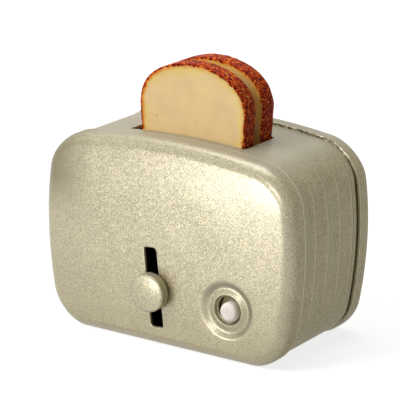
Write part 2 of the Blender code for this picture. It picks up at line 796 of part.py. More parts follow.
def clip_centre_line():
    """The clip seen from above: a flat tail on the slider, then a hook round the left post."""
    post_x = post_places()["left"][0]
    radius = post_radius + running_gap + clip_sheet / 2
    tail_y = slider_front_y - assembly_gap - clip_sheet / 2
    rise = (tail_y - post_y) / radius
    start = math.degrees(math.asin(rise))
    hook = arc((post_x, post_y), radius, start, start - math.degrees(clip_wrap), clip_steps)
    return [(hook[0][0] + clip_tail, tail_y)] + hook


def clip_rivet_place():
    tail_end = clip_centre_line()[0][0]
    return (tail_end - clip_rivet_from_end, arm_bottom_z - clip_rivet_below_arm)


def build_friction_clip(carriage, material):
    line = clip_centre_line()
    vectors = inward_vectors(line, closed=False)
    outline = inset(line, vectors, clip_sheet / 2) + inset(line, vectors, -clip_sheet / 2)[::-1]
    x, z = clip_rivet_place()
    low, high = z - clip_height / 2, z + clip_height / 2
    mesh = prism("friction_clip", outline, low, high, "Z")
    clip = add_piece(mesh, material, carriage, carriage.location)
    cut(clip, cylinder("clip_rivet_hole", (x, 0, z), "Y", rivet_radius + assembly_gap,
                       slider_front_y - overrun, slider_front_y))
    profile = rivet_profile(slider_front_y - assembly_gap - clip_sheet, slider_back_y)
    rivet = turned("clip_rivet", profile, (x, 0, z), "Y", round_steps)
    add_piece(rivet, material, carriage, (x, slider_front_y, z))


def build_lever(carriage, knob_material, stem_material):
    """Stem, headed behind the slider and shouldered in front of it, and the domed knob."""
    back_y = -half_depth - knob_standoff
    bore_end = back_y - knob_bore_depth
    stem_tip = bore_end + assembly_gap
    head = slider_back_y + assembly_gap
    collar = slider_front_y - assembly_gap
    profile = [(0, stem_tip), (stem_radius, stem_tip), (stem_radius, collar - stem_collar_height),
               (stem_head_radius, collar - stem_collar_height), (stem_head_radius, collar),
               (stem_radius, collar), (stem_radius, head), (stem_head_radius, head),
               (stem_head_radius, head + stem_head_height), (0, head + stem_head_height)]
    centre = (lever_x, 0, lever_rest_z)
    stem = turned("lever_stem", profile, centre, "Y", round_steps)
    add_piece(stem, stem_material, carriage, carriage.location)
    bore_radius = stem_radius + assembly_gap
    side_end = back_y - knob_side
    dome_top = side_end - knob_dome
    rim = knob_radius - knob_fillet
    sphere = (rim**2 + knob_dome**2) / (2 * knob_dome)
    spread = math.degrees(math.asin(rim / sphere))
    dome = [(radius, dome_top + sphere - along)
            for radius, along in arc((0, 0), sphere, 90, 90 - spread, 5)]
    front_fillet = arc((rim, side_end + knob_fillet), knob_fillet, spread - 90, 0, 4)
    back_fillet = arc((rim, back_y - knob_fillet), knob_fillet, 0, 90, 4)
    profile = dome + front_fillet + back_fillet
    profile += [(bore_radius, back_y), (bore_radius, bore_end), (0, bore_end)]
    knob = turned("lever_knob", profile, centre, "Y", knob_steps)
    add_piece(knob, knob_material, carriage, carriage.location)


def build_button(button, head_material, metal):
    """The peg with its collar and grooved stem, and the open ring in the groove."""
    front = -half_depth - button_proud
    head_fillet = arc((button_radius - button_fillet, front + button_fillet), button_fillet, -90, 0, 4)
    groove_front = button_clip_front_y - assembly_gap
    groove_back = button_clip_back_y + assembly_gap
    tail = groove_back + button_tail
    profile = [(0, front)] + head_fillet
    profile += [(button_radius, button_collar_front_y), (button_collar_radius, button_collar_front_y),
                (button_collar_radius, button_collar_back_y), (button_stem_radius, button_collar_back_y),
                (button_stem_radius, groove_front), (button_groove_radius, groove_front),
                (button_groove_radius, groove_back), (button_stem_radius, groove_back),
                (button_stem_radius, tail), (0, tail)]
    centre = (button_x, 0, button_z)
    peg = turned("push_button", profile, centre, "Y", 24)
    add_piece(peg, head_material, button, button.location)
    opening = math.degrees(button_clip_opening)
    start, end = -90 + opening / 2, 270 - opening / 2
    outer = arc((button_x, button_z), button_clip_radius, start, end, 18)
    inner_radius = button_groove_radius + assembly_gap
    inner = arc((button_x, button_z), inner_radius, end, start, 18)
    ring = prism("button_clip", outer + inner, button_clip_front_y, button_clip_back_y, "Y")
    add_piece(ring, metal, button, button.location)


def build_button_spring(material):
    """One tube wound round the button's stem, from its collar to the bracket."""
    start = button_collar_back_y + assembly_gap + spring_wire_radius
    end = bracket_front_y - assembly_gap - spring_wire_radius
    total = spring_turns * spring_points
    points = []
    for i in range(total + 1):
        angle = 2 * math.pi * i / spring_points
        points.append(Vector((button_x + spring_radius * math.cos(angle),
                              start + (end - start) * i / total,
                              button_z + spring_radius * math.sin(angle))))
    closest = min((points[i] - points[i + spring_points]).length
                  for i in range(total + 1 - spring_points))
    gap = closest - 2 * spring_wire_radius
    pressed = gap - button_travel / spring_turns
    print(f"button_spring least gap to itself {gap / mm:.2f} mm, pressed {pressed / mm:.2f} mm")
    curve = bpy.data.curves.new("button_spring", "CURVE")
    curve.dimensions = "3D"
    curve.bevel_depth = spring_wire_radius
    curve.bevel_resolution = 1
    curve.use_fill_caps = True
    curve.materials.append(material)
    spline = curve.splines.new("POLY")
    spline.points.add(len(points) - 1)
    for target, point in zip(spline.points, points):
        target.co = (*point, 1)
    bpy.context.collection.objects.link(bpy.data.objects.new("button_spring", curve))


def build_button_bracket(material):
    """An upright plate behind the dial, on a foot that is screwed to the base plate."""
    foot_left = bracket_foot_x() - bracket_foot_width / 2
    foot_right = foot_left + bracket_foot_width
    right = button_x + bracket_margin
    left = button_x - bracket_margin
    low, high = button_z - bracket_margin, button_z + bracket_margin
    shelf = low + bracket_arm_height
    outline = [(foot_left, foot_z), (foot_right, foot_z), (foot_right, low), (right, low),
               (right, high), (left, high), (left, shelf), (foot_left, shelf)]
    plate = prism("button_bracket", outline, bracket_front_y, bracket_back_y, "Y")
    bracket = add_piece(plate, material)
    foot = rectangle(foot_left, foot_right, bracket_back_y - overlap,
                     bracket_back_y + bracket_foot_length)
    join(bracket, prism("bracket_foot", foot, foot_z, foot_z + bracket_sheet, "Z"))
    cut(bracket, cylinder("stem_guide", (button_x, 0, button_z), "Y",
                          button_stem_radius + running_gap,
                          bracket_front_y - overrun, bracket_back_y + overrun))
    x, y = bracket_screw_place()
    cut(bracket, cylinder("bracket_hole", (x, y, 0), "Z", hole_radius,
                          foot_z - overrun, foot_z + bracket_sheet + overrun))


def slice_outline():
    """A loaf slice seen from the front: near upright sides under one broad dome."""
    right = [(slice_width / 2 * width, slice_height * height)
             for width, height in zip(slice_width_shares, slice_height_shares)]
    left = [(-x, z) for x, z in reversed(right)]
    return right + [(0, slice_height)] + left


def build_slices(carriage, material):
    front = opening_front_y + slice_clearance
    pitch = slice_thickness + slice_gap
    for name, start in (("bread_slice_front", front), ("bread_slice_rear", front + pitch)):
        mesh = prism(name, slice_outline(), start, start + slice_thickness, "Y")
        mesh.transform(Matrix.Translation((slice_x, 0, slice_foot_z)))
        origin = (slice_x, start + slice_thickness / 2, slice_foot_z)
        piece = add_piece(mesh, material, carriage, origin)
        bevel = piece.modifiers.new("edge", "BEVEL")
        bevel.width = slice_edge_bevel
        bevel.segments = 2
        bevel.limit_method = "ANGLE"
        bevel.angle_limit = math.radians(60)
        mesh.shade_smooth()
        mesh.set_sharp_from_angle(angle=math.radians(40))


def centre_everything():
    """Hang all pieces on one empty, set back so that the origin is under the middle of the whole."""
    whole = add_empty("toaster", (0, 0, 0))
    for obj in bpy.data.objects:
        if obj.parent is None and obj is not whole:
            obj.parent = whole
    whole.location.y = (knob_standoff + knob_side + knob_dome) / 2


def main():
    clear_scene()
    paint = make_material("champagne_paint", (0.58, 0.52, 0.37), 0.6, 0.45)
    tin = make_material("bare_tinplate", (0.45, 0.45, 0.44), 0.9, 0.4)
    blacked = make_material("blacked_steel", (0.03, 0.03, 0.03), 0.8, 0.5)
    steel = make_material("plated_steel", (0.6, 0.6, 0.6), 1.0, 0.3)
    plastic = make_material("off_white_plastic", (0.82, 0.75, 0.65), 0.0, 0.5)
    bread = make_material("bread", (0.75, 0.55, 0.27), 0.0, 0.7)
    build_front_pan(paint)
    build_rear_pan(paint)
    build_centre_band(paint)
    build_base_plate(tin)
    build_screws(steel)
    build_chassis(tin)
    build_guide_posts(steel)
    build_button_bracket(tin)
    build_button_spring(steel)
    carriage = add_empty("carriage", (lever_x, slider_front_y, lever_rest_z))
    build_slider(carriage, blacked)
    build_rack(carriage, tin)
    build_rack_rivets(carriage, steel)
    build_friction_clip(carriage, steel)
    build_lever(carriage, paint, steel)
    build_slices(carriage, bread)
    button = add_empty("button", (button_x, -half_depth, button_z))
    build_button(button, plastic, steel)
    centre_everything()


main()
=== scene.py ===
import math
from collections import Counter
from functools import partial

import bmesh
import bpy
import numpy as np
from mathutils import Matrix, Vector, kdtree, noise
from mathutils.geometry import delaunay_2d_cdt


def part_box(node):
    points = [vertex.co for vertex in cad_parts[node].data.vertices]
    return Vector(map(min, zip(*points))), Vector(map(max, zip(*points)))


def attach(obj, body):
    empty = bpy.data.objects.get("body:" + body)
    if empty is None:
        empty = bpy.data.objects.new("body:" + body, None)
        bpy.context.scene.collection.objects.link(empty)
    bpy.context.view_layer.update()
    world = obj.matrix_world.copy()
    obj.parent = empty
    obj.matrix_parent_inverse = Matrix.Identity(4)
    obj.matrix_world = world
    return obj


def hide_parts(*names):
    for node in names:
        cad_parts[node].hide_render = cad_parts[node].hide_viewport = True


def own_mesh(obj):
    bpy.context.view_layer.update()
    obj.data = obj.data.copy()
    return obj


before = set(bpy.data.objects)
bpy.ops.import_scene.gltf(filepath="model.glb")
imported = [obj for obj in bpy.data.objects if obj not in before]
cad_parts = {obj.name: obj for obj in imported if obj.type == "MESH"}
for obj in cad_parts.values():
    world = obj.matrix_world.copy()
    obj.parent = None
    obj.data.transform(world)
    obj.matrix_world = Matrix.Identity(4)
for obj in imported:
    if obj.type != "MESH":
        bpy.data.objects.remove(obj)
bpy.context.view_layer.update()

mm = 0.001


# Camera: stands where the photograph was taken from, a little above the toaster and to its right,
# on a long lens. The place and the lens come from fitting the casing's outline to the picture.

camera_bearing = math.radians(33.4022)
camera_elevation = math.radians(16.9012)
camera_roll = math.radians(0.5838)
camera_distance = 484.88 * mm
camera_aside = 1.2 * mm
camera_above = -26.12 * mm
sensor_width = 36.0
photo_width = 400
lens_pixels = 2340.19
casing_middle_y = (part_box("front_pan")[0].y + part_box("rear_pan")[1].y) / 2

backward = Vector((math.sin(camera_bearing) * math.cos(camera_elevation),
                   -math.cos(camera_bearing) * math.cos(camera_elevation),
                   math.sin(camera_elevation)))
level_right = Vector((math.cos(camera_bearing), math.sin(camera_bearing), 0))
level_up = backward.cross(level_right)
rightward = level_right * math.cos(camera_roll) + level_up * math.sin(camera_roll)
upward = level_up * math.cos(camera_roll) - level_right * math.sin(camera_roll)
camera = bpy.data.objects.new("camera", bpy.data.cameras.new("camera"))
camera.data.sensor_width = sensor_width
camera.data.lens = lens_pixels * sensor_width / photo_width
camera.data.clip_start = 10 * mm
camera.data.clip_end = 20.0
camera.matrix_world = Matrix((rightward, upward, backward)).transposed().to_4x4()
camera.location = backward * camera_distance - rightward * camera_aside - upward * camera_above
camera.location.y += casing_middle_y
bpy.context.scene.collection.objects.link(camera)
bpy.context.scene.camera = camera


# Front pan: the shell's front half, drawn from 0.6 mm tinplate and sprayed champagne silver. The
# lever slot is punched through it a little out of true, and the dial is a groove stamped round a low
# cone that has the button's hole in it. Two tabs hold the pan to the base plate.

pan_sheet = 0.6 * mm
half_width = 30.0 * mm
casing_height = 43.0 * mm
half_depth = 15.5 * mm
top_corner_radius = 7.6 * mm
bottom_corner_radius = 7.4 * mm
corner_steps = 16
side_steps = 24
crown_steps = 22
crown_stop_gap = 0.3 * mm
side_bulge = 2.6 * mm
side_taper = 0.5 * mm
top_crown = 2.7 * mm
pan_flange = 2.3 * mm
pan_edge_radius = 2.5 * mm
pan_edge_steps = 10
seam_y = half_depth - pan_flange - pan_edge_radius
sheet_edge_radius = 0.14 * mm
crease_angle = math.radians(48)
face_spacing = 0.75 * mm
face_dome = 0.7 * mm
face_shoulder = 12.0 * mm
face_wave = 0.05 * mm
face_wave_length = 9.0 * mm
slot_centre = (-2.1 * mm, 12.6 * mm)
slot_width = 3.0 * mm
slot_length = 16.7 * mm
slot_lean = math.radians(6)
slot_corners = (0.35 * mm, 0.9 * mm, 0.35 * mm, 0.9 * mm)
slot_ring = 0.45 * mm
dial_centre = (15.4 * mm, 11.2 * mm)
dial_radius = 5.6 * mm
dial_hole_radius = 2.75 * mm
dial_groove_depth = 0.9 * mm
dial_profile = ((1.14, 0.0), (1.1, 0.02), (1.04, 0.12), (0.98, 0.32), (0.92, 0.54), (0.87, 0.67),
                (0.82, 0.72), (0.77, 0.68), (0.72, 0.57), (0.67, 0.42), (0.62, 0.29), (0.585, 0.22),
                (0.56, 0.28), (0.54, 0.55), (0.52, 1.05), (0.51, 1.2))
dial_rings = 34
dial_ring_span = (1.13, 0.53)
dial_steps = 72
tab_x = 11.0 * mm
tab_width = 3.0 * mm
tab_bend = 1.6 * mm
tab_setback = 0.4 * mm
tab_edge = 0.1 * mm
tab_edge_angle = math.radians(40)
foot_z = 2.2 * mm

# Painted highlight and shade on the paint: each pair is the distance at which a patch is full, and
# the one at which it is gone. The last pair counts up and to the right from the dial's middle.
edge_highlight_band = (0.18 * mm, 0.32 * mm)
corner_shade_side = (3.0 * mm, 13.0 * mm)
corner_shade_top_z = 35.5 * mm
corner_shade_top = (3.5 * mm, 12.0 * mm)
foot_shade = (-18.0 * mm, 18.0 * mm)
groove_shade_inside = (4.9 * mm, 4.4 * mm)
groove_shade_outside = (5.4 * mm, 6.1 * mm)
groove_shade_above = (-1.0 * mm, -5.0 * mm)


def linear(colour):
    """Linear red, green, blue and alpha of an sRGB hex colour."""
    parts = [int(colour[i:i + 2], 16) / 255 for i in (1, 3, 5)]
    return (*[p / 12.92 if p <= 0.04045 else ((p + 0.055) / 1.055) ** 2.4 for p in parts], 1.0)


def add_node(tree, kind, inputs=(), stops=(), **settings):
    """Add a node with its settings, its colour ramp's stops, and its inputs by name or in order.

    An input gets a value, or a link from a socket, a node's first output, or each of a list.
    """
    node = tree.nodes.new(kind)
    for name, value in settings.items():
        setattr(node, name, value)
    for i, (position, colour) in enumerate(stops):
        elements = node.color_ramp.elements
        stop = elements[i] if i < 2 else elements.new(position)
        stop.position = position
        stop.color = linear(colour)
    for name, given in inputs.items() if isinstance(inputs, dict) else enumerate(inputs):
        for value in given if isinstance(given, list) else [given]:
            if isinstance(value, bpy.types.Node):
                value = value.outputs[0]
            if isinstance(value, bpy.types.NodeSocket):
                tree.links.new(value, node.inputs[name])
            else:
                node.inputs[name].default_value = value
    return node


def new_material(name):
    """An empty material, and the function that adds nodes to it."""
    material = bpy.data.materials.new(name)
    material.use_nodes = True
    material.node_tree.nodes.clear()
    return material, partial(add_node, material.node_tree)


def end_material(material, inputs):
    """Give a material its shader."""
    shader = add_node(material.node_tree, "ShaderNodeBsdfPrincipled", inputs)
    add_node(material.node_tree, "ShaderNodeOutputMaterial", (shader,))
    return material


def lay_over(material, colour, *masks):
    """Lay a colour over what the material has, as much as the masks say together."""
    add = partial(add_node, material.node_tree)
    mask = masks[0]
    for other in masks[1:]:
        mask = add("ShaderNodeMath", (mask, other), operation="MULTIPLY")
    base = material.node_tree.nodes["Principled BSDF"].inputs["Base Color"]
    over = add("ShaderNodeMix", {0: mask, 6: base.links[0].from_socket, 7: linear(colour)},
               data_type="RGBA")
    material.node_tree.links.new(over.outputs[2], base)


def faded(add, value, full, gone):
    """A mask: 1 where the value is full, falling to 0 where it is gone."""
    return add("ShaderNodeMapRange", (value, full, gone, 1.0, 0.0))


def place_parts(add):
    """X, Y and Z of a point of the object."""
    return add("ShaderNodeSeparateXYZ", (add("ShaderNodeTexCoord").outputs["Object"],)).outputs


def distance_from(add, letter, place):
    """How far a point is from a place along X, Y or Z."""
    gap = add("ShaderNodeMath", (place_parts(add)[letter], place), operation="SUBTRACT")
    return add("ShaderNodeMath", (gap,), operation="ABSOLUTE")


def distance_from_axis(add, x, z):
    """How far a point is from an axis along Y."""
    across, up = distance_from(add, "X", x), distance_from(add, "Z", z)
    square = add("ShaderNodeMath", (across, across), operation="MULTIPLY")
    square = add("ShaderNodeMath", (up, up, square), operation="MULTIPLY_ADD")
    return add("ShaderNodeMath", (square,), operation="SQRT")


def up_and_right(add):
    """X plus Z, which grows upward and to the right."""
    parts = place_parts(add)
    return add("ShaderNodeMath", (parts["X"], parts["Z"]), operation="ADD")


def flake_paint(name):
    """Champagne silver spray paint with aluminium flake, over tinplate.

    The eye gets a fine sandy sparkle of light and dark specks, a soft cloudiness where the coat is
    thicker, a pale grey painted on upward faces as the sheen of a cooler light from above, and a
    broad sheen that is duller on the flanges, where the spray came in at a slant. Real flake is
    about 0.05 mm, drawn at 0.17 mm so that it shows.
    """
    material, add = new_material(name)
    place = add("ShaderNodeTexCoord").outputs["Object"]
    flake = add("ShaderNodeTexVoronoi", {"Vector": place, "Scale": 1 / (0.17 * mm)}).outputs["Color"]
    grit = add("ShaderNodeTexNoise", {"Vector": place, "Scale": 1 / (0.17 * mm), "Detail": 0.0})
    cloud = add("ShaderNodeTexNoise",
                {"Vector": place, "Scale": 1 / (4.5 * mm), "Detail": 1.5, "Roughness": 0.5})
    speck = add("ShaderNodeMath", (grit, 0.55), operation="MULTIPLY")
    for part, share in ((add("ShaderNodeSeparateColor", (flake,)), 0.4), (cloud, 0.15)):
        speck = add("ShaderNodeMath", (part, share, speck), operation="MULTIPLY_ADD")
    tone = add("ShaderNodeValToRGB", (speck,),
               stops=((0.31, "#887D5C"), (0.53, "#A79D7A"), (0.77, "#C2B793")))
    normal = add("ShaderNodeNewGeometry").outputs["Normal"]
    facing = add("ShaderNodeSeparateXYZ", (normal,)).outputs
    straight = add("ShaderNodeMath", (facing["Y"],), operation="ABSOLUTE")
    coat = {socket: add("ShaderNodeMapRange", (straight, 0.2, 0.8, on_flange, on_face))
            for socket, on_flange, on_face in (("Metallic", 0.42, 0.5), ("Coat Weight", 0.25, 1.0),
                                               ("Roughness", 0.55, 0.35))}
    lean = add("ShaderNodeVectorMath", (flake, (0.5, 0.5, 0.5)), operation="SUBTRACT")
    lean = add("ShaderNodeVectorMath", (lean, (0.18, 0.18, 0.18), normal), operation="MULTIPLY_ADD")
    lean = add("ShaderNodeVectorMath", (lean,), operation="NORMALIZE")
    peel = add("ShaderNodeBump",
               {"Strength": 0.4, "Distance": 0.03 * mm, "Height": grit, "Normal": lean})
    end_material(material, {"Base Color": tone, "Normal": peel, "Coat Roughness": 0.3,
                            "Coat IOR": 1.95, "Specular Tint": linear("#8A8270"), **coat})
    # Upward faces are painted a pale grey: a painted sheen standing in for a cooler light from
    # above.
    lay_over(material, "#AFABA0", faded(add, facing["Z"], 1.3, 0.7))
    return material, add


def arc(centre, radius, start, end, steps):
    """Points of an arc, both ends included. Angles are in degrees, anticlockwise."""
    angles = [math.radians(start + (end - start) * i / steps) for i in range(steps + 1)]
    return [(centre[0] + radius * math.cos(a), centre[1] + radius * math.sin(a)) for a in angles]


def between(first, last, steps):
    """Points strictly between two points."""
    shares = [i / steps for i in range(1, steps)]
    return [tuple(a + (b - a) * share for a, b in zip(first, last)) for share in shares]


def every_mm(first, last):
    """The first point, and points about 1 mm apart on the way to the last."""
    return [first] + between(first, last, max(1, round(math.dist(first, last) / mm)))


def drawn_in(point):
    """Bulge the sides and crown the top of a plain rounded rectangle, as the pressing does."""
    x, z = point
    level = (z - casing_height / 2) / (casing_height / 2)
    narrowing = (side_bulge * level**2 - side_taper * level) / half_width
    return (x * (1 - narrowing), z - top_crown * (x / half_width) ** 2 * max(level, 0))


def casing_outline(crown_stops=()):
    """The casing seen from the front, from the right end of its underside round to the left."""
    high = casing_height - top_corner_radius
    low = bottom_corner_radius
    flat_end = half_width - top_corner_radius
    right = arc((half_width - low, low), low, -90, 0, corner_steps)
    right += between((half_width, low), (half_width, high), side_steps)
    right += arc((flat_end, high), top_corner_radius, 0, 90, corner_steps)
    crown = between((flat_end, casing_height), (0, casing_height), crown_steps)
    crown = [p for p in crown if all(abs(p[0] - stop) > crown_stop_gap for stop in crown_stops)]
    crown += [(stop, casing_height) for stop in crown_stops]
    right = [drawn_in(point) for point in right + sorted(crown, reverse=True)]
    return right + [(0, casing_height)] + [(-x, z) for x, z in reversed(right)]


def inset(points, distance, closed=True):
    """Move an outline to its left by a distance, mitred at its corners."""
    moved = []
    for i, point in enumerate(points):
        before = points[i - 1] if closed or i else None
        after = points[(i + 1) % len(points)] if closed or i < len(points) - 1 else None
        normals = []
        for start, end in ((before, point), (point, after)):
            if start is not None and end is not None:
                along = Vector(end) - Vector(start)
                normals.append(Vector((-along.y, along.x)).normalized())
        mean = sum(normals, Vector((0, 0))).normalized()
        step = mean * (distance / mean.dot(normals[0]))
        moved.append((point[0] + step.x, point[1] + step.y))
    return moved


def inside(points, loop):
    """Which of the points lie inside a closed loop."""
    x, y = np.array(points, float).reshape(-1, 2).T[:, :, None]
    first = np.array(loop, float)
    last = np.roll(first, -1, axis=0)
    rise = last[:, 1] - first[:, 1]
    rise[rise == 0] = 1e-12
    crossed = (first[:, 1] > y) != (last[:, 1] > y)
    meets = first[:, 0] + (y - first[:, 1]) * (last[:, 0] - first[:, 0]) / rise
    return (crossed & (x < meets)).sum(axis=1) % 2 == 1


def search_tree(points):
    """A tree that finds the nearest of the points."""
    tree = kdtree.KDTree(len(points))
    for i, (x, y) in enumerate(points):
        tree.insert((x, y, 0), i)
    tree.balance()
    return tree


def fill(loops, holes, spacing):
    """Points and triangles that fill the first loop up to the holes, by way of the other loops."""
    points = [point for loop in loops + holes for point in loop]
    edges = []
    for loop in loops + holes:
        start = len(edges)
        edges += [(start + i, start + (i + 1) % len(loop)) for i in range(len(loop))]
    drawn = search_tree(points)
    low = np.min(loops[0], axis=0)
    high = np.max(loops[0], axis=0)
    grid = []
    for row, y in enumerate(np.arange(low[1], high[1], spacing)):
        for x in np.arange(low[0] + spacing / 2 * (row % 2), high[0], spacing):
            # A point nearer than this to a drawn one would only make slivers.
            if drawn.find((x, y, 0))[2] > spacing * 0.6:
                grid.append((float(x), float(y)))

    def filled(places):
        """Which of the places are in the first loop and in no hole."""
        return inside(places, loops[0]) & ~np.any([inside(places, hole) for hole in holes], axis=0)

    points += [point for point, keep in zip(grid, filled(grid)) if keep]
    made = delaunay_2d_cdt([Vector(p) / mm for p in points], edges, [], 0, 1e-5)
    triangles = [[made[3][i][0] for i in face] for face in made[2]]
    middles = [np.mean([points[i] for i in face], axis=0) for face in triangles]
    return points, [face for face, keep in zip(triangles, filled(middles)) if keep]


def end_mesh(bm, crease=None):
    """A smooth mesh, its faces turned outward, with creases past an angle."""
    bmesh.ops.recalc_face_normals(bm, faces=bm.faces)
    mesh = bpy.data.meshes.new("made")
    bm.to_mesh(mesh)
    bm.free()
    mesh.shade_smooth()
    if crease:
        mesh.set_sharp_from_angle(angle=crease)
    return mesh


def sheet_shell(outer, inner, corners, faces):
    """Join an outer and an inner skin along the sheet's edges.

    Where an edge shows, corners has the sharp corner that its outer skin is rounded back from.
    """
    bm = bmesh.new()
    outer_verts = [bm.verts.new(point) for point in outer]
    inner_verts = [bm.verts.new(point) for point in inner]
    for face in faces:
        bm.faces.new([outer_verts[i] for i in face])
        bm.faces.new([inner_verts[i] for i in reversed(face)])
    uses = Counter(frozenset(pair) for face in faces for pair in zip(face, face[1:] + face[:1]))
    rims = {}
    for i in {i for pair, count in uses.items() if count == 1 for i in pair}:
        rims[i] = [outer_verts[i], inner_verts[i]]
        if i in corners:
            start, corner, end = Vector(outer[i]), Vector(corners[i]), Vector(inner[i])
            across = corner - start
            down = (end - corner).normalized() * across.length
            rims[i][1:1] = [bm.verts.new(start + across * math.sin(a) + down * (1 - math.cos(a)))
                            for a in (math.radians(30), math.radians(60), math.radians(90))]
    for pair, count in uses.items():
        if count == 1:
            first, last = [rims[i] for i in pair]
            for step in range(len(first) - 1):
                bm.faces.new((first[step], first[step + 1], last[step + 1], last[step]))
    return end_mesh(bm, crease_angle)


def add_piece(name, mesh, material, slot, body, *nodes):
    """Make a piece that is drawn in the casing's own frame, in place of the CAD nodes."""
    mesh.name = name
    mesh.transform(Matrix.Translation((0, casing_middle_y, 0)))
    mesh.materials.clear()
    mesh.materials.append(material)
    piece = bpy.data.objects.new(name, mesh)
    bpy.context.scene.collection.objects.link(piece)
    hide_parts(*nodes)
    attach(piece, body)
    return piece


def bent_tab(path, start, end):
    """Extrude a tab's section along X, with its sharp edges taken off."""
    bm = bmesh.new()
    face = bm.faces.new([bm.verts.new((start, y, z)) for y, z in path])
    made = bmesh.ops.extrude_face_region(bm, geom=[face])
    moved = [item for item in made["geom"] if isinstance(item, bmesh.types.BMVert)]
    bmesh.ops.translate(bm, verts=moved, vec=(end - start, 0, 0))
    bmesh.ops.recalc_face_normals(bm, faces=bm.faces)
    sharp = [edge for edge in bm.edges if edge.calc_face_angle(0) > tab_edge_angle]
    bmesh.ops.bevel(bm, geom=sharp, offset=tab_edge, segments=2, affect="EDGES", profile=0.5)
    return end_mesh(bm, crease_angle)


def smoothed(points, steps):
    """Points of a curve that passes through the given ones."""
    made = []
    padded = [points[0]] + points + [points[-1]]
    for before, first, last, after in zip(padded, padded[1:], padded[2:], padded[3:]):
        before, first, last, after = [Vector(p) for p in (before, first, last, after)]
        for i in range(steps):
            t = i / steps
            made.append(tuple(0.5 * (2 * first + (last - before) * t
                                     + (2 * before - 5 * first + 4 * last - after) * t**2
                                     + (3 * first - before - 3 * last + after) * t**3)))
    return made + [points[-1]]


dial_table = list(zip(*smoothed(list(dial_profile), 6)[::-1]))


def dial_circle(radius):
    """Points of a circle round the dial's centre."""
    return arc(dial_centre, radius, 0, 360, dial_steps)[:-1]


def pan_mesh(facing, dome_height, slot=None, with_dial=False, seed=0):
    """A pan with facing -1 at the front and 1 at the back."""
    outline = casing_outline()
    count = len(outline)
    outer, inner, faces = [], [], []

    def lift(x, z, distance):
        """How far a point stands out from flat: a low dome and the press's slight waviness."""
        share = 1 - (1 - min(distance / face_shoulder, 1)) ** 2
        across, up = x / half_width, (z - casing_height / 2) / (casing_height / 2)
        dome = dome_height * (1 - 0.3 * across**2 - 0.3 * up**2)
        wave = noise.noise(Vector((x / face_wave_length, seed, z / face_wave_length)))
        return (dome + face_wave * wave) * share

    def groove(x, z):
        """How deep the dial's groove is."""
        radius = math.hypot(x - dial_centre[0], z - dial_centre[1]) / dial_radius
        return dial_groove_depth * float(np.interp(radius, *dial_table)) if with_dial else 0.0

    for skin, points in ((0, outer), (pan_sheet, inner)):
        radius = pan_edge_radius - skin
        profile = [(skin, 0 if skin else sheet_edge_radius), (skin, pan_flange / 2),
                   (skin, pan_flange)]
        for i in range(1, pan_edge_steps):
            angle = math.pi / 2 * i / pan_edge_steps
            profile.append((skin + radius * (1 - math.cos(angle)),
                            pan_flange + radius * math.sin(angle)))
        for distance, depth in profile:
            rounded = max(distance - skin, 0)
            points += [(x, facing * (seam_y + depth + lift(x, z, rounded)), z)
                       for x, z in inset(outline, distance)]
    corners = {i: (x, facing * seam_y, z) for i, (x, z) in enumerate(outline)}
    base = len(outer)
    for start in range(0, base, count):
        for i in range(count):
            j = (i + 1) % count
            faces.append([start + i, start + j, start + count + j, start + count + i])
    loops, holes = [inset(outline, pan_edge_radius)], []
    rim = search_tree(loops[0])
    if slot:
        loops.append(inset(slot, -slot_ring))
        holes.append(inset(slot, -sheet_edge_radius))
    if with_dial:
        loops += [dial_circle(dial_radius * float(share))
                  for share in np.linspace(*dial_ring_span, dial_rings)]
        holes.append(dial_circle(dial_hole_radius + sheet_edge_radius))
    points, triangles = fill(loops, holes, face_spacing)
    for x, z in points:
        depth = half_depth + lift(x, z, pan_edge_radius + rim.find((x, z, 0))[2]) - groove(x, z)
        outer.append((x, facing * depth, z))
        inner.append((x, facing * (depth - pan_sheet), z))
    faces += [[base + i for i in face] for face in triangles]
    at = base + sum(len(loop) for loop in loops)
    sharp = [point for hole in holes for point in inset(hole, sheet_edge_radius)]
    for i, (x, z) in enumerate(sharp, at):
        y = outer[i][1]
        corners[i] = (x, y, z)
        inner[i] = (x, y - facing * pan_sheet, z)
    near = facing * (seam_y + tab_setback)
    far = near + facing * pan_sheet
    bent = near + facing * tab_bend
    path = [(near, pan_sheet / 2), (far, pan_sheet / 2), (far, foot_z), (bent, foot_z),
            (bent, foot_z + pan_sheet), (near, foot_z + pan_sheet)]
    whole = bmesh.new()
    whole.from_mesh(sheet_shell(outer, inner, corners, faces))
    for left in (-tab_x - tab_width / 2, tab_x - tab_width / 2):
        whole.from_mesh(bent_tab(path, left, left + tab_width))
    mesh = bpy.data.meshes.new("made")
    whole.to_mesh(mesh)
    whole.free()
    return mesh


slot_outline = []
for (side, level, start), radius in zip(((1, -1, -90), (1, 1, 0), (-1, 1, 90), (-1, -1, 180)),
                                        slot_corners):
    centre = (side * (slot_width / 2 - radius), level * (slot_length / 2 - radius))
    slot_outline += arc(centre, radius, start, start + 90, 6)
slot_outline = [step for first, last in zip(slot_outline, slot_outline[1:] + slot_outline[:1])
                for step in every_mm(first, last)]
slot_outline = [(slot_centre[0] + x * math.cos(slot_lean) - z * math.sin(slot_lean),
                 slot_centre[1] + x * math.sin(slot_lean) + z * math.cos(slot_lean))
                for x, z in slot_outline]
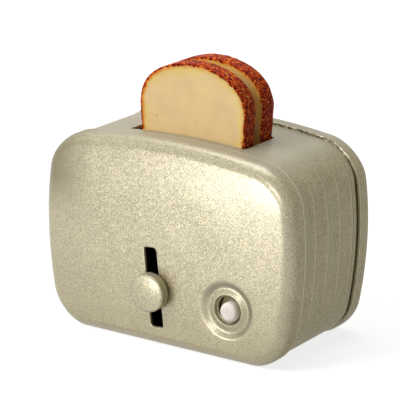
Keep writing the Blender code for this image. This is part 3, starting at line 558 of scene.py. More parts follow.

# A pale line of painted highlight runs along the flange's edge. Painted shade darkens one top corner
# and the face towards the bottom in brown, and a brown painted shade lies in the dial's groove,
# above and to the right of its middle.
front_paint, add = flake_paint("front_pan_flake_paint")
# Painted highlight: a pale line along the flange's edge, where it catches the light.
lay_over(front_paint, "#E6DCC8",
         faded(add, distance_from(add, "Y", casing_middle_y - seam_y), *edge_highlight_band))
# Painted shade: the face's upper left corner and edge are darkened brown.
lay_over(front_paint, "#6F6232", faded(add, distance_from(add, "X", -half_width), *corner_shade_side),
         faded(add, distance_from(add, "Z", corner_shade_top_z), *corner_shade_top))
# Painted shade: the face grows browner and darker towards the bottom.
lay_over(front_paint, "#857747", faded(add, distance_from(add, "Z", 0.0), *foot_shade))
# Painted shade: a brown crescent on the groove's outer wall, above and to the right of the middle.
from_dial = distance_from_axis(add, *dial_centre)
lay_over(front_paint, "#7A6F4A",
         faded(add, from_dial, *groove_shade_inside), faded(add, from_dial, *groove_shade_outside),
         faded(add, up_and_right(add), *[sum(dial_centre) + step for step in groove_shade_above]))
add_piece("front_pan_shell", pan_mesh(-1, face_dome, slot_outline, with_dial=True, seed=3.0),
          front_paint, "champagne_paint", "casing", "front_pan")


# Rear pan: the shell's other half, the same pressing without slot and dial. Its flange stands a
# little proud of the band behind an open gap, and the paint has chipped along that edge.

rear_dome = 0.25 * mm
chip_size = 0.65 * mm
chipped_edge = (0.24 * mm, 0.32 * mm)
chipped_top = (4.0 * mm, 8.0 * mm)
bare_chips = (0.43, 0.45)
dark_chips = (0.58, 0.56)

rear_paint, add = flake_paint("rear_pan_flake_paint")
chips = add("ShaderNodeTexNoise", {"Vector": add("ShaderNodeTexCoord").outputs["Object"],
                                   "Scale": 1 / chip_size, "Detail": 3.0})
along_edge = faded(add, distance_from(add, "Y", casing_middle_y + seam_y), *chipped_edge)
over_top = faded(add, distance_from(add, "Z", casing_height), *chipped_top)
for colour, share in (("#EFE8D6", bare_chips), ("#544A34", dark_chips)):
    lay_over(rear_paint, colour, along_edge, over_top, faded(add, chips, *share))
add_piece("rear_pan_shell", pan_mesh(1, rear_dome, seed=8.0),
          rear_paint, "champagne_paint", "casing", "rear_pan")


# Centre band: one strip of 0.6 mm tinplate wrapped round the sides and top between the pans, which
# grip its joggled rims. Four upright flutes are rolled into each side, and the bread opening is
# punched through the top. Its feet turn in under the base plate's ends and are screwed there.

band_sheet = 0.6 * mm
band_recess = 0.4 * mm
band_rim = pan_sheet + 0.3 * mm
band_front_y = -seam_y + 0.6 * mm
band_rear_y = seam_y - 1.1 * mm
band_rim_reach = 1.9 * mm
band_joggle = 0.4 * mm
band_fold_reach = band_joggle + 0.2 * mm
band_foot_length = 3.6 * mm
band_riser_inset = 1.8 * mm
band_line_gap = 0.17 * mm
flute_count = 4
flute_pitch = 4.7 * mm
flute_steps = 12
first_flute_y = band_front_y + 0.2 * mm
ridge_middle_z = 23.5 * mm
ridge_reach = (11.5 * mm, 15.0 * mm)
ridge_line_width = (0.06 * mm, 0.2 * mm)
ridge_highlight_y = -0.12 * mm
ridge_shade_y = 0.16 * mm
opening_length = 27.4 * mm
opening_half = opening_length / 2
opening_front_y = -7.6 * mm
opening_rear_y = 3.7 * mm
opening_corner = 0.5 * mm
opening_rim = 0.35 * mm
opening_inner_rim = 0.4 * mm

# The gap before the rear pan is wide at the sides and narrow over the top.
rear_gap_narrowing = 0.75 * mm
rear_gap_wide_z = 33.0 * mm
rear_gap_narrow_z = 38.0 * mm

# A point this near the opening's edge counts as on it.
hair = 0.01 * mm


def new_geometry_tree(name, sizes):
    """A Geometry Nodes tree with an input for each size, its add function and its inputs."""
    tree = bpy.data.node_groups.new(name, "GeometryNodeTree")
    for socket, kind in {"Geometry": "Geometry", **dict.fromkeys(sizes, "Float"),
                         "Material": "Material"}.items():
        tree.interface.new_socket(socket, in_out="INPUT", socket_type=f"NodeSocket{kind}")
    tree.interface.new_socket("Geometry", in_out="OUTPUT", socket_type="NodeSocketGeometry")
    return tree, partial(add_node, tree), add_node(tree, "NodeGroupInput").outputs


def grown(tree, geometry, mesh, sizes, material):
    """Finish a tree, with instances made real and the material set, and run it on a mesh."""
    given = tree.nodes["Group Input"].outputs
    real = add_node(tree, "GeometryNodeRealizeInstances", (geometry,))
    painted = add_node(tree, "GeometryNodeSetMaterial",
                       {"Geometry": real, "Material": given["Material"]})
    add_node(tree, "NodeGroupOutput", (painted,))
    seed = bpy.data.objects.new(tree.name, mesh)
    bpy.context.scene.collection.objects.link(seed)
    modifier = seed.modifiers.new(tree.name, "NODES")
    modifier.node_group = tree
    values = {**sizes, "Material": material}
    for item in tree.interface.items_tree:
        if item.name in values:
            modifier[item.identifier] = values[item.name]
    bpy.context.view_layer.update()
    evaluated = seed.evaluated_get(bpy.context.evaluated_depsgraph_get())
    made = bpy.data.meshes.new_from_object(evaluated)
    seed.modifiers.remove(modifier)
    bpy.data.objects.remove(seed, do_unlink=True)
    return made


def band_path():
    """The band's path at the pans' outline, from its right foot over the top to its left foot."""
    stretch = 1 - (side_bulge - side_taper) / half_width
    steps = (opening_rim, 0, -opening_corner, -opening_corner - opening_inner_rim)
    outline = casing_outline([(opening_half + step) / stretch for step in steps])
    riser_x = outline[0][0] - band_riser_inset
    lift = foot_z - band_recess
    bend, wide_bend = 0.15 * mm, 0.5 * mm
    feet = [(riser_x - band_foot_length, lift), (riser_x - band_foot_length / 2, lift),
            (riser_x - wide_bend, lift), (riser_x - bend, lift - bend),
            (riser_x, lift - wide_bend), (riser_x, wide_bend), (riser_x + bend, bend),
            (riser_x + wide_bend, 0)]
    return feet + outline + [(-x, z) for x, z in reversed(feet)]


def band_columns():
    """(y, inset) of each line along the band, from its front rim to its rear rim."""
    joggle = [(-0.12 * mm, band_recess), (0.05 * mm, band_recess + 0.05 * mm),
              (band_joggle - 0.05 * mm, band_rim - 0.06 * mm), (band_joggle + 0.1 * mm, band_rim),
              (1.6 * mm, band_rim)]
    stops = [opening_front_y - opening_rim, opening_front_y, opening_front_y + opening_corner,
             opening_rear_y - opening_corner, opening_rear_y, opening_rear_y + opening_rim]
    cusps = [-seam_y + flute_pitch * i for i in range(1, flute_count + 1)]
    flutes = list(cusps)
    for start, end in zip([first_flute_y] + cusps, cusps):
        flutes += [start, *[y for y, in between((start,), (end,), flute_steps)]]
    clear = [y for y in flutes if all(abs(y - stop) > band_line_gap for stop in stops)]
    return ([(-seam_y - band_rim_reach, band_rim)]
            + [(band_front_y - step, depth) for step, depth in reversed(joggle)]
            + [(y, band_recess) for y in sorted(set(clear + stops))]
            + [(band_rear_y + step, depth) for step, depth in joggle]
            + [(seam_y + band_rim_reach, band_rim)])


band_grid = bmesh.new()
band_rows = []
band_levels = {depth: inset(band_path(), depth, closed=False)
               for depth in {depth for y, depth in band_columns()}}
band_inward = []
for index, point in enumerate(band_levels[band_recess]):
    row = []
    inward = (Vector(band_levels[band_rim][index]) - Vector(point)) / (band_rim - band_recess)
    narrow = (point[1] - rear_gap_wide_z) / (rear_gap_narrow_z - rear_gap_wide_z)
    for y, depth in band_columns():
        x, z = band_levels[depth][index]
        if abs(y - band_rear_y) < band_fold_reach:
            y += rear_gap_narrowing * min(max(narrow, 0), 1)
        row.append(band_grid.verts.new((x, y, z)))
        band_inward.append(Vector((inward.x, 0, inward.y)))
    band_rows.append(row)
band_grid.verts.index_update()
for first, second in zip(band_rows, band_rows[1:]):
    for i in range(len(first) - 1):
        middle = (first[i].co + second[i + 1].co) / 2
        over = middle.z > casing_height / 2 and abs(middle.x) < opening_half - hair
        if not (over and opening_front_y < middle.y < opening_rear_y):
            band_grid.faces.new((first[i], first[i + 1], second[i + 1], second[i]))
band_opening = {}
for vert in band_grid.verts:
    x, y, z = vert.co
    near_end = abs(abs(x) - opening_half) < 5 * hair
    near_edge = min(abs(y - opening_front_y), abs(y - opening_rear_y)) < hair
    within = abs(x) < opening_half + 5 * hair and opening_front_y - hair < y < opening_rear_y + hair
    if z > casing_height / 2 and within and (near_end or near_edge):
        out_y = math.copysign(1.0, y - (opening_front_y + opening_rear_y) / 2)
        away = Vector((math.copysign(1.0, x) * near_end, out_y * near_edge, 0))
        if near_end and near_edge:
            vert.co -= away * opening_corner * (1 - math.sqrt(0.5))
            away = away.normalized()
        band_opening[vert.index] = away
band_skin = bpy.data.meshes.new("centre_band_skin")
bmesh.ops.recalc_face_normals(band_grid, faces=band_grid.faces)
if sum(face.normal.x * face.calc_center_median().x for face in band_grid.faces) < 0:
    bmesh.ops.reverse_faces(band_grid, faces=band_grid.faces)
band_grid.to_mesh(band_skin)
band_grid.free()
band_skin.shade_smooth()

# The rule that rolls the flutes: each is a parabola across the strip, faded out at both its ends.
flute_sizes = {"Pitch": flute_pitch, "Depth": 0.38 * mm, "Start": -seam_y,
               "First Edge": first_flute_y, "Last Edge": -seam_y + flute_count * flute_pitch,
               "Low End": 8.5 * mm, "High End": 38.5 * mm, "Fade": 4.0 * mm}
flute_tree, add, given = new_geometry_tree("rolled_flutes", flute_sizes)
where = add("ShaderNodeSeparateXYZ", (add("GeometryNodeInputPosition"),)).outputs
past = add("ShaderNodeMath", (where["Y"], given["Start"]), operation="SUBTRACT")
turn = add("ShaderNodeMath", (past, given["Pitch"]), operation="DIVIDE")
turn = add("ShaderNodeMath", (turn,), operation="FLOOR")
begin = add("ShaderNodeMath", (turn, given["Pitch"], given["Start"]), operation="MULTIPLY_ADD")
end = add("ShaderNodeMath", (begin, given["Pitch"]), operation="ADD")
begin = add("ShaderNodeMath", (begin, given["First Edge"]), operation="MAXIMUM")
amount = add("ShaderNodeMapRange", (where["Y"], begin, end))
rest = add("ShaderNodeMath", (1.0, amount), operation="SUBTRACT")
above = add("ShaderNodeMath", (where["Z"], given["Low End"]), operation="SUBTRACT")
below = add("ShaderNodeMath", (given["High End"], where["Z"]), operation="SUBTRACT")
reach = add("ShaderNodeMath", (above, below), operation="MINIMUM")
fade = add("ShaderNodeMapRange", {"Value": reach, "From Max": given["Fade"]},
           interpolation_type="SMOOTHSTEP")
ahead = add("ShaderNodeMath", (where["Y"], given["Last Edge"]), operation="LESS_THAN")
for factor in (rest, fade, ahead, given["Depth"], -4.0):
    amount = add("ShaderNodeMath", (amount, factor), operation="MULTIPLY")
push = add("ShaderNodeVectorMath", {0: add("GeometryNodeInputNormal"), "Scale": amount},
           operation="SCALE")
rolled = add("GeometryNodeSetPosition", {"Geometry": given["Geometry"], "Offset": push})

# A light line of painted highlight and a dark line of painted shade run along each ridge between
# two flutes, and along the front seam.
band_paint, add = flake_paint("centre_band_flake_paint")
fluted = faded(add, distance_from(add, "Z", ridge_middle_z), *ridge_reach)
# Painted highlight and painted shade, one line each at every ridge and at the front seam.
for offset, colour in ((ridge_highlight_y, "#C3B797"), (ridge_shade_y, "#7C6F4E")):
    turn = add("ShaderNodeMath", (place_parts(add)["Y"], casing_middle_y - seam_y + offset),
               operation="SUBTRACT")
    turn = add("ShaderNodeMath", (turn, flute_pitch / 2), operation="PINGPONG")
    lay_over(band_paint, colour, fluted, faded(add, turn, *ridge_line_width))
band_mesh = grown(flute_tree, rolled, band_skin, flute_sizes, band_paint)
band_outer = [vert.co.copy() for vert in band_mesh.vertices]
band_inner = [point + inward * band_sheet for point, inward in zip(band_outer, band_inward)]
band_corners = {}
for index, away in band_opening.items():
    band_corners[index] = band_outer[index].copy()
    band_outer[index] += away * sheet_edge_radius
band_mesh = sheet_shell(band_outer, band_inner, band_corners,
                        [list(face.vertices) for face in band_mesh.polygons])
add_piece("centre_band_strip", band_mesh, band_paint, "champagne_paint", "casing", "centre_band")


# Chassis, base plate and button bracket: folded from bare tinplate, hidden but for the bread well
# under the opening and the plate that shows from below. Screws through the base plate hold them.

def tinplate(name):
    """Bare tinplate, as rolled: a grey sheen with faint long rolling marks and dull blotches."""
    material, add = new_material(name)
    place = add("ShaderNodeTexCoord").outputs["Object"]
    along = add("ShaderNodeMapping", {"Vector": place, "Scale": (0.08, 1.0, 1.0)})
    marks = add("ShaderNodeTexNoise", {"Vector": along, "Scale": 1 / (0.3 * mm), "Detail": 2.0})
    blotch = add("ShaderNodeTexNoise", {"Vector": place, "Scale": 1 / (3 * mm), "Detail": 4.0})
    return end_material(material, {
        "Base Color": add("ShaderNodeValToRGB", (blotch,), ((0.35, "#8E8B84"), (0.7, "#BDBBB4"))),
        "Roughness": add("ShaderNodeMapRange", (marks, 0.0, 1.0, 0.3, 0.55)),
        "Normal": add("ShaderNodeBump", {"Strength": 0.3, "Distance": 0.02 * mm, "Height": marks}),
        "Metallic": 0.9})


rolled_tinplate = tinplate("rolled_tinplate")
for node in ("chassis", "base_plate", "button_bracket", "bread_rack"):
    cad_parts[node].material_slots[0].material = rolled_tinplate


# Slider: a folded steel plate that runs on the guide posts. It is chemically blacked, and shows
# only as the black behind the lever slot.

def blacked_steel(name):
    """Steel blacked in a hot salt bath: near black, oily, with slightly browner rubbed places."""
    material, add = new_material(name)
    worn = add("ShaderNodeTexNoise", {"Vector": add("ShaderNodeTexCoord").outputs["Object"],
                                      "Scale": 1 / (1.5 * mm), "Detail": 5.0})
    return end_material(material, {
        "Base Color": add("ShaderNodeValToRGB", (worn,), ((0.45, "#0B0A0A"), (0.8, "#1D1916"))),
        "Roughness": add("ShaderNodeMapRange", (worn, 0.0, 1.0, 0.45, 0.7)),
        "Metallic": 0.6})


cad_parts["slider"].material_slots[0].material = blacked_steel("blacked_slider_steel")


# Guide posts, lever stem and both clips: the posts and the stem are turned from steel rod, the clips
# are stamped from spring steel, and all of them are nickel plated.

def nickel_plate(name):
    """Dull nickel plating over turned steel: a warm grey metal with fine tool marks."""
    material, add = new_material(name)
    marks = add("ShaderNodeTexNoise", {"Vector": add("ShaderNodeTexCoord").outputs["Object"],
                                       "Scale": 1 / (0.15 * mm), "Detail": 2.0})
    return end_material(material, {
        "Base Color": add("ShaderNodeValToRGB", (marks,), ((0.0, "#A9A69E"), (1.0, "#D9D7D0"))),
        "Roughness": add("ShaderNodeMapRange", (marks, 0.0, 1.0, 0.2, 0.42)),
        "Normal": add("ShaderNodeBump", {"Strength": 0.25, "Distance": 0.01 * mm, "Height": marks}),
        "Metallic": 1.0})


nickelled_steel = nickel_plate("nickelled_steel")
for node in ("guide_post_left", "guide_post_right", "friction_clip", "lever_stem", "button_clip"):
    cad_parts[node].material_slots[0].material = nickelled_steel


# Lever knob: a thick domed disc turned from metal and sprayed with the same flake paint. It is
# pressed on the stem through the slot, and a brown line of painted shade lies on its rim's lower
# left.

lever_x = -2.1 * mm
lever_z = 12.0 * mm
knob_radius = 3.95 * mm
knob_back = -half_depth - 0.9 * mm
knob_side = 2.43 * mm
knob_dome = 0.27 * mm
knob_fillet = 0.5 * mm
knob_bore_radius = 0.9 * mm
knob_bore_depth = 1.4 * mm
knob_bore_edge = 0.1 * mm
knob_steps = 72
dome_steps = 14
fillet_steps = 8
turned_crease = math.radians(40)
rim_shade_inside = (3.62 * mm, 3.52 * mm)
rim_shade_outside = (3.72 * mm, 3.82 * mm)
rim_shade_side = (-3.0 * mm, 0.0)


def turned(profile, centre, steps):
    """Turn (radius, y) points, from axis to axis, into a solid round an axis along Y."""
    bm = bmesh.new()
    rings = []
    for radius, along in profile:
        if radius < 1e-7:
            rings.append([bm.verts.new((0, along, 0))] * steps)
        else:
            rings.append([bm.verts.new((x, along, z))
                          for x, z in arc((0, 0), radius, 0, 360, steps)[:-1]])
    for first, second in zip(rings, rings[1:]):
        for i in range(steps):
            j = (i + 1) % steps
            corners = list(dict.fromkeys((first[i], first[j], second[j], second[i])))
            if len(corners) > 2:
                bm.faces.new(corners)
    bmesh.ops.translate(bm, verts=bm.verts, vec=centre)
    return end_mesh(bm, turned_crease)


knob_rim = knob_radius - knob_fillet
knob_front = knob_back - knob_side - knob_dome
knob_sphere = (knob_rim**2 + knob_dome**2) / (2 * knob_dome)
knob_spread = math.degrees(math.asin(knob_rim / knob_sphere))
knob_profile = [(radius, knob_front + knob_sphere - along)
                for radius, along in arc((0, 0), knob_sphere, 90, 90 - knob_spread, dome_steps)]
knob_profile[0] = (0, knob_front)
knob_profile += arc((knob_rim, knob_back - knob_side + knob_fillet), knob_fillet,
                    knob_spread - 90, 0, fillet_steps)
knob_profile += arc((knob_rim, knob_back - knob_fillet), knob_fillet, 0, 90, fillet_steps)
knob_profile += [(knob_bore_radius + knob_bore_edge, knob_back),
                 (knob_bore_radius, knob_back - knob_bore_edge),
                 (knob_bore_radius, knob_back - knob_bore_depth), (0, knob_back - knob_bore_depth)]

knob_paint, add = flake_paint("lever_knob_flake_paint")
from_axis = distance_from_axis(add, lever_x, lever_z)
# Painted shade: a brown line on the rim's lower left, where the face meets the side.
lay_over(knob_paint, "#6B5A38",
         faded(add, from_axis, *rim_shade_inside), faded(add, from_axis, *rim_shade_outside),
         faded(add, up_and_right(add), *[lever_x + lever_z + step for step in rim_shade_side]))
add_piece("lever_knob_disc", turned(knob_profile, (lever_x, 0, lever_z), knob_steps),
          knob_paint, "champagne_paint", "carriage", "lever_knob")


# Push button: a round peg moulded in off-white plastic, loose in the dial's hole. Its collar stops
# it behind the face, and its grooved stem runs back through spring and bracket to an open clip.
# The collar's rim is painted tan brown: a painted shade for the gap round the peg.

button_centre = (15.9 * mm, 0, 10.9 * mm)
button_front = -half_depth - 1.0 * mm
button_radius = 2.05 * mm
button_fillet = 0.8 * mm
button_steps = 48
collar_gap_shade = (2.35 * mm, 2.15 * mm)
collar_radius = 3.3 * mm
collar_front = -half_depth + dial_groove_depth + pan_sheet + 0.3 * mm
collar_back = collar_front + 0.6 * mm
stem_radius = 0.9 * mm
groove_radius = 0.55 * mm
groove_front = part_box("button_bracket")[0].y - casing_middle_y + 0.6 * mm
groove_back = groove_front + 1.0 * mm
stem_end = groove_back + 0.6 * mm


def satin_plastic(name):
    """Polystyrene from a satin mould: a faintly pink off-white with a soft waxy sheen."""
    material, add = new_material(name)
    cloud = add("ShaderNodeTexNoise", {"Vector": add("ShaderNodeTexCoord").outputs["Object"],
                                       "Scale": 1 / (1.2 * mm), "Detail": 3.0})
    return end_material(material, {
        "Base Color": add("ShaderNodeValToRGB", (cloud,), ((0.3, "#E8DACA"), (0.7, "#F7EDE3"))),
        "Normal": add("ShaderNodeBump", {"Strength": 0.4, "Distance": 0.03 * mm, "Height": cloud}),
        "Roughness": 0.42, "Subsurface Weight": 0.15, "Subsurface Scale": 1.0 * mm})


button_profile = [(0, button_front), (button_radius - button_fillet, button_front)]
button_profile += arc((button_radius - button_fillet, button_front + button_fillet), button_fillet,
                      -90, 0, fillet_steps)[1:]
button_profile += [(button_radius, collar_front), (collar_radius, collar_front),
                   (collar_radius, collar_back), (stem_radius, collar_back),
                   (stem_radius, groove_front), (groove_radius, groove_front),
                   (groove_radius, groove_back), (stem_radius, groove_back),
                   (stem_radius, stem_end), (0, stem_end)]
button_plastic = satin_plastic("satin_off_white_plastic")
add = partial(add_node, button_plastic.node_tree)
from_axis = distance_from_axis(add, button_centre[0], button_centre[2])
# Painted shade: the collar's rim, seen through the gap round the peg, is tan brown.
lay_over(button_plastic, "#CDBB85", faded(add, from_axis, *collar_gap_shade))
add_piece("push_button_peg", turned(button_profile, button_centre, button_steps),
          button_plastic, "off_white_plastic", "button", "push_button")


# Button spring: steel wire wound in three open turns round the button's stem. It stands between
# the button's collar and the bracket. The real one shortens as the button goes in; this one is
# fixed to the casing at its rest length.

spring_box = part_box("button_spring")
spring_wire = 0.2 * mm
spring_sizes = {"Turns": 3.0, "Radius": 1.55 * mm,
                "Length": spring_box[1].y - spring_box[0].y - 2 * spring_wire,
                "Wire Radius": spring_wire, "Across": button_centre[0],
                "Start": spring_box[0].y - casing_middle_y + spring_wire, "Up": button_centre[2]}
spring_tree, add, given = new_geometry_tree("wound_spring", spring_sizes)
helix = add("GeometryNodeCurveSpiral",
            (40, given["Turns"], given["Radius"], given["Radius"], given["Length"]))
wire = add("GeometryNodeCurvePrimitiveCircle", {"Resolution": 12, "Radius": given["Wire Radius"]})
coil = add("GeometryNodeCurveToMesh", {"Curve": helix, "Profile Curve": wire, "Fill Caps": True})
target = add("ShaderNodeCombineXYZ", (given["Across"], given["Start"], given["Up"]))
coil = add("GeometryNodeTransform",
           {"Geometry": coil, "Translation": target, "Rotation": (-math.pi / 2, 0, 0)})
spring_wire_steel = nickel_plate("spring_wire_steel")
spring_mesh = grown(spring_tree, coil, bpy.data.meshes.new("spring_seed"), spring_sizes,
                    spring_wire_steel)
spring_mesh.shade_smooth()
spring = add_piece("button_spring_coil", spring_mesh, spring_wire_steel, "plated_steel", "casing",
                   "button_spring")
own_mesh(spring)


# Screws: seven slotted screws with low domed heads, driven up through the base plate into the
# band's feet, the chassis and the bracket. Rolled thread, nickel plated.

screw_names = [f"band_screw_{i}" for i in (1, 2, 3, 4)]
screw_names += ["chassis_screw_1", "chassis_screw_2", "bracket_screw"]
screw_boxes = [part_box(name) for name in screw_names]
screw_head_height = 0.5 * mm
screw_tip_radius = 0.3 * mm
screw_tip_length = 0.6 * mm
screw_turn = math.radians(35)
screw_sizes = {"Head Radius": 1.5 * mm, "Head Side": 0.22 * mm, "Head Dome": 0.28 * mm,
               "Slot Width": 0.4 * mm, "Slot Depth": 0.3 * mm, "Shank Radius": 0.74 * mm,
               "Shank Length": screw_boxes[0][1].z - screw_boxes[0][0].z - screw_head_height,
               "Thread Turns": 6.0, "Thread Height": 0.09 * mm}


def domed_head(add, given):
    """Nodes of a round head: a short cylinder on z = 0 whose top is raised to a dome."""
    blank = add("GeometryNodeMeshCylinder", (32, 2, 6, given["Head Radius"], given["Head Side"]),
                fill_type="TRIANGLE_FAN")
    half = add("ShaderNodeMath", (given["Head Side"], 0.5), operation="MULTIPLY")
    up = add("ShaderNodeCombineXYZ", {"Z": half})
    blank = add("GeometryNodeTransform", {"Geometry": blank, "Translation": up})
    parts = add("ShaderNodeSeparateXYZ", (add("GeometryNodeInputPosition"),)).outputs
    flat = add("ShaderNodeCombineXYZ", (parts["X"], parts["Y"]))
    away = add("ShaderNodeVectorMath", (flat,), operation="LENGTH").outputs["Value"]
    share = add("ShaderNodeMath", (away, given["Head Radius"]), operation="DIVIDE")
    square = add("ShaderNodeMath", (share, 2.0), operation="POWER")
    rise = add("ShaderNodeMath", (1.0, square), operation="SUBTRACT")
    top = add("ShaderNodeMath", (parts["Z"], half), operation="GREATER_THAN")
    for factor in (given["Head Dome"], top):
        rise = add("ShaderNodeMath", (rise, factor), operation="MULTIPLY")
    raised = add("ShaderNodeCombineXYZ", {"Z": rise})
    return add("GeometryNodeSetPosition", {"Geometry": blank, "Offset": raised})


screw_tree, add, given = new_geometry_tree("slotted_screws", screw_sizes)
top = add("ShaderNodeMath", (given["Head Side"], given["Head Dome"]), operation="ADD")
block = add("ShaderNodeMath", (given["Head Radius"], 3.0), operation="MULTIPLY")
block_size = add("ShaderNodeCombineXYZ", (block, given["Slot Width"], block))
slot_z = add("ShaderNodeMath", (top, given["Slot Depth"]), operation="SUBTRACT")
slot_z = add("ShaderNodeMath", (block, 0.5, slot_z), operation="MULTIPLY_ADD")
cutter = add("GeometryNodeTransform", {"Geometry": add("GeometryNodeMeshCube", (block_size,)),
                                       "Translation": add("ShaderNodeCombineXYZ", {"Z": slot_z})})
head = add("GeometryNodeMeshBoolean", (domed_head(add, given), cutter), operation="DIFFERENCE",
           solver="EXACT")
shank = add("GeometryNodeMeshCone", {"Vertices": 24, "Side Segments": 6,
                                     "Radius Bottom": screw_tip_radius,
                                     "Radius Top": given["Shank Radius"],
                                     "Depth": given["Shank Length"]})
parts = add("ShaderNodeSeparateXYZ", (add("GeometryNodeInputPosition"),)).outputs
taper = add("ShaderNodeMapRange", (parts["Z"], 0.0, screw_tip_length, 0.6, 1.0))
round_it = add("ShaderNodeMath", (taper, given["Shank Radius"]), operation="MULTIPLY")
outward = add("ShaderNodeVectorMath", (add("ShaderNodeCombineXYZ", (parts["X"], parts["Y"])),),
              operation="NORMALIZE")
outward = add("ShaderNodeVectorMath", {0: outward, "Scale": round_it}, operation="SCALE")
shaped = add("ShaderNodeVectorMath", (outward, add("ShaderNodeCombineXYZ", {"Z": parts["Z"]})),
             operation="ADD")
shank = add("GeometryNodeSetPosition", {"Geometry": shank, "Position": shaped})
run = add("ShaderNodeMath", (given["Shank Length"], 0.6), operation="MULTIPLY")
thread = add("GeometryNodeCurveSpiral",
             (24, given["Thread Turns"], given["Shank Radius"], given["Shank Radius"], run))
ridge = add("GeometryNodeCurvePrimitiveCircle", {"Resolution": 4, "Radius": given["Thread Height"]})
thread = add("GeometryNodeCurveToMesh",
             {"Curve": thread, "Profile Curve": ridge, "Fill Caps": True})
parts = [head]
for part, share in ((shank, -1.0), (thread, -0.85)):
    low = add("ShaderNodeMath", (given["Shank Length"], share), operation="MULTIPLY")
    low = add("ShaderNodeCombineXYZ", {"Z": low})
    parts.append(add("GeometryNodeTransform", {"Geometry": part, "Translation": low}))
screws = add("GeometryNodeInstanceOnPoints",
             {"Points": given["Geometry"], "Instance": add("GeometryNodeJoinGeometry", (parts,)),
              "Rotation": (math.pi, 0, screw_turn)})

screw_points = bpy.data.meshes.new("screw_places")
screw_points.from_pydata([((low.x + high.x) / 2, (low.y + high.y) / 2 - casing_middle_y,
                           low.z + screw_head_height) for low, high in screw_boxes], [], [])
screw_nickel = nickel_plate("screw_nickel")
screw_mesh = grown(screw_tree, screws, screw_points, screw_sizes, screw_nickel)
screw_mesh.set_sharp_from_angle(angle=turned_crease)
add_piece("base_screws", screw_mesh, screw_nickel, "plated_steel", "casing", *screw_names)


# Rivets: two through the bread rack and the slider's arm, one through the friction clip and the
# slider. Soft steel, nickel plated, both ends closed to low domes.

rivet_head_height = 0.4 * mm
rivet_axes = {"rack_rivet_left": (0, 0, 1), "rack_rivet_right": (0, 0, 1), "clip_rivet": (0, 1, 0)}
rivet_sizes = {"Head Radius": 1.2 * mm, "Head Side": 0.12 * mm, "Head Dome": 0.28 * mm,
               "Shank Radius": 0.7 * mm}
rivet_tree, add, given = new_geometry_tree("set_rivets", rivet_sizes)
axis = add("GeometryNodeInputNamedAttribute", ("axis",), data_type="FLOAT_VECTOR")
grip = add("GeometryNodeInputNamedAttribute", ("grip",), data_type="FLOAT")
head = domed_head(add, given)
shank = add("GeometryNodeMeshCylinder", {"Vertices": 24, "Side Segments": 1, "Depth": 1.0,
                                         "Radius": given["Shank Radius"]})
upright = add("FunctionNodeAlignRotationToVector", {"Vector": axis}, axis="Z")
parts = [add("GeometryNodeInstanceOnPoints",
             {"Points": given["Geometry"], "Instance": shank, "Rotation": upright,
              "Scale": add("ShaderNodeCombineXYZ", (1.0, 1.0, grip))})]
for end in (0.5, -0.5):
    run = add("ShaderNodeMath", (grip, end), operation="MULTIPLY")
    shift = add("ShaderNodeVectorMath", {0: axis, "Scale": run}, operation="SCALE")
    moved = add("GeometryNodeSetPosition", {"Geometry": given["Geometry"], "Offset": shift})
    away = add("ShaderNodeVectorMath", {0: axis, "Scale": math.copysign(1.0, end)},
               operation="SCALE")
    facing = add("FunctionNodeAlignRotationToVector", {"Vector": away}, axis="Z")
    parts.append(add("GeometryNodeInstanceOnPoints",
                     {"Points": moved, "Instance": head, "Rotation": facing}))
rivets = add("GeometryNodeJoinGeometry", (parts,))

rivet_boxes = [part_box(name) for name in rivet_axes]
rivet_points = bpy.data.meshes.new("rivet_places")
rivet_points.from_pydata([(low + high) / 2 - Vector((0, casing_middle_y, 0))
                          for low, high in rivet_boxes], [], [])
rivet_points.attributes.new("axis", "FLOAT_VECTOR", "POINT").data.foreach_set(
    "vector", [part for axis in rivet_axes.values() for part in axis])
rivet_points.attributes.new("grip", "FLOAT", "POINT").data.foreach_set(
    "value", [(high - low).dot(Vector(axis)) - 2 * rivet_head_height
              for (low, high), axis in zip(rivet_boxes, rivet_axes.values())])
rivet_nickel = nickel_plate("rivet_nickel")
rivet_mesh = grown(rivet_tree, rivets, rivet_points, rivet_sizes, rivet_nickel)
rivet_mesh.set_sharp_from_angle(angle=turned_crease)
add_piece("carriage_rivets", rivet_mesh, rivet_nickel, "plated_steel", "carriage", *rivet_axes)


# Bread slices: two loaf slices moulded in resin and painted by hand. The cut faces are a creamy tan
# that lets a little light in, and the crust is a mottled dark red that bleeds orange on the rim.

slice_width = 25.2 * mm
slice_height = 26.7 * mm
slice_thickness = 3.9 * mm
slice_round = 0.3 * mm
slice_round_steps = 5
slice_spacing = 0.5 * mm
slice_lumps = 0.10 * mm
slice_lump_size = 1.6 * mm
slice_dish = 0.09 * mm
slice_dish_start = 0.6 * mm
slice_dish_run = 1.2 * mm
slice_wave = 0.04 * mm
slice_wave_length = 3.0 * mm
slice_x = 0.95 * mm
slice_foot_z = 30.6 * mm
slice_width_shares = (0.94, 0.965, 0.967, 0.985, 1.0, 0.99, 0.965, 0.93, 0.88, 0.81, 0.72, 0.6,
                      0.45, 0.29, 0.13)
slice_height_shares = (0.0, 0.015, 0.4, 0.55, 0.66, 0.71, 0.755, 0.796, 0.834, 0.87, 0.904, 0.937,
                       0.965, 0.985, 0.997)


def slice_outline():
    """Half the loaf's outline from its shares, then the whole, starting at the lower right."""
    right = [(slice_width / 2 * width, slice_height * height)
             for width, height in zip(slice_width_shares, slice_height_shares)]
    right = right[:1] + smoothed(right[1:] + [(0, slice_height)], 4)[:-1]
    right = [p for pair in zip(right, right[1:]) for p in every_mm(*pair)] + right[-1:]
    left = [(-x, z) for x, z in reversed(right)]
    return right + [(0, slice_height)] + left + between(left[-1], right[0], 24)


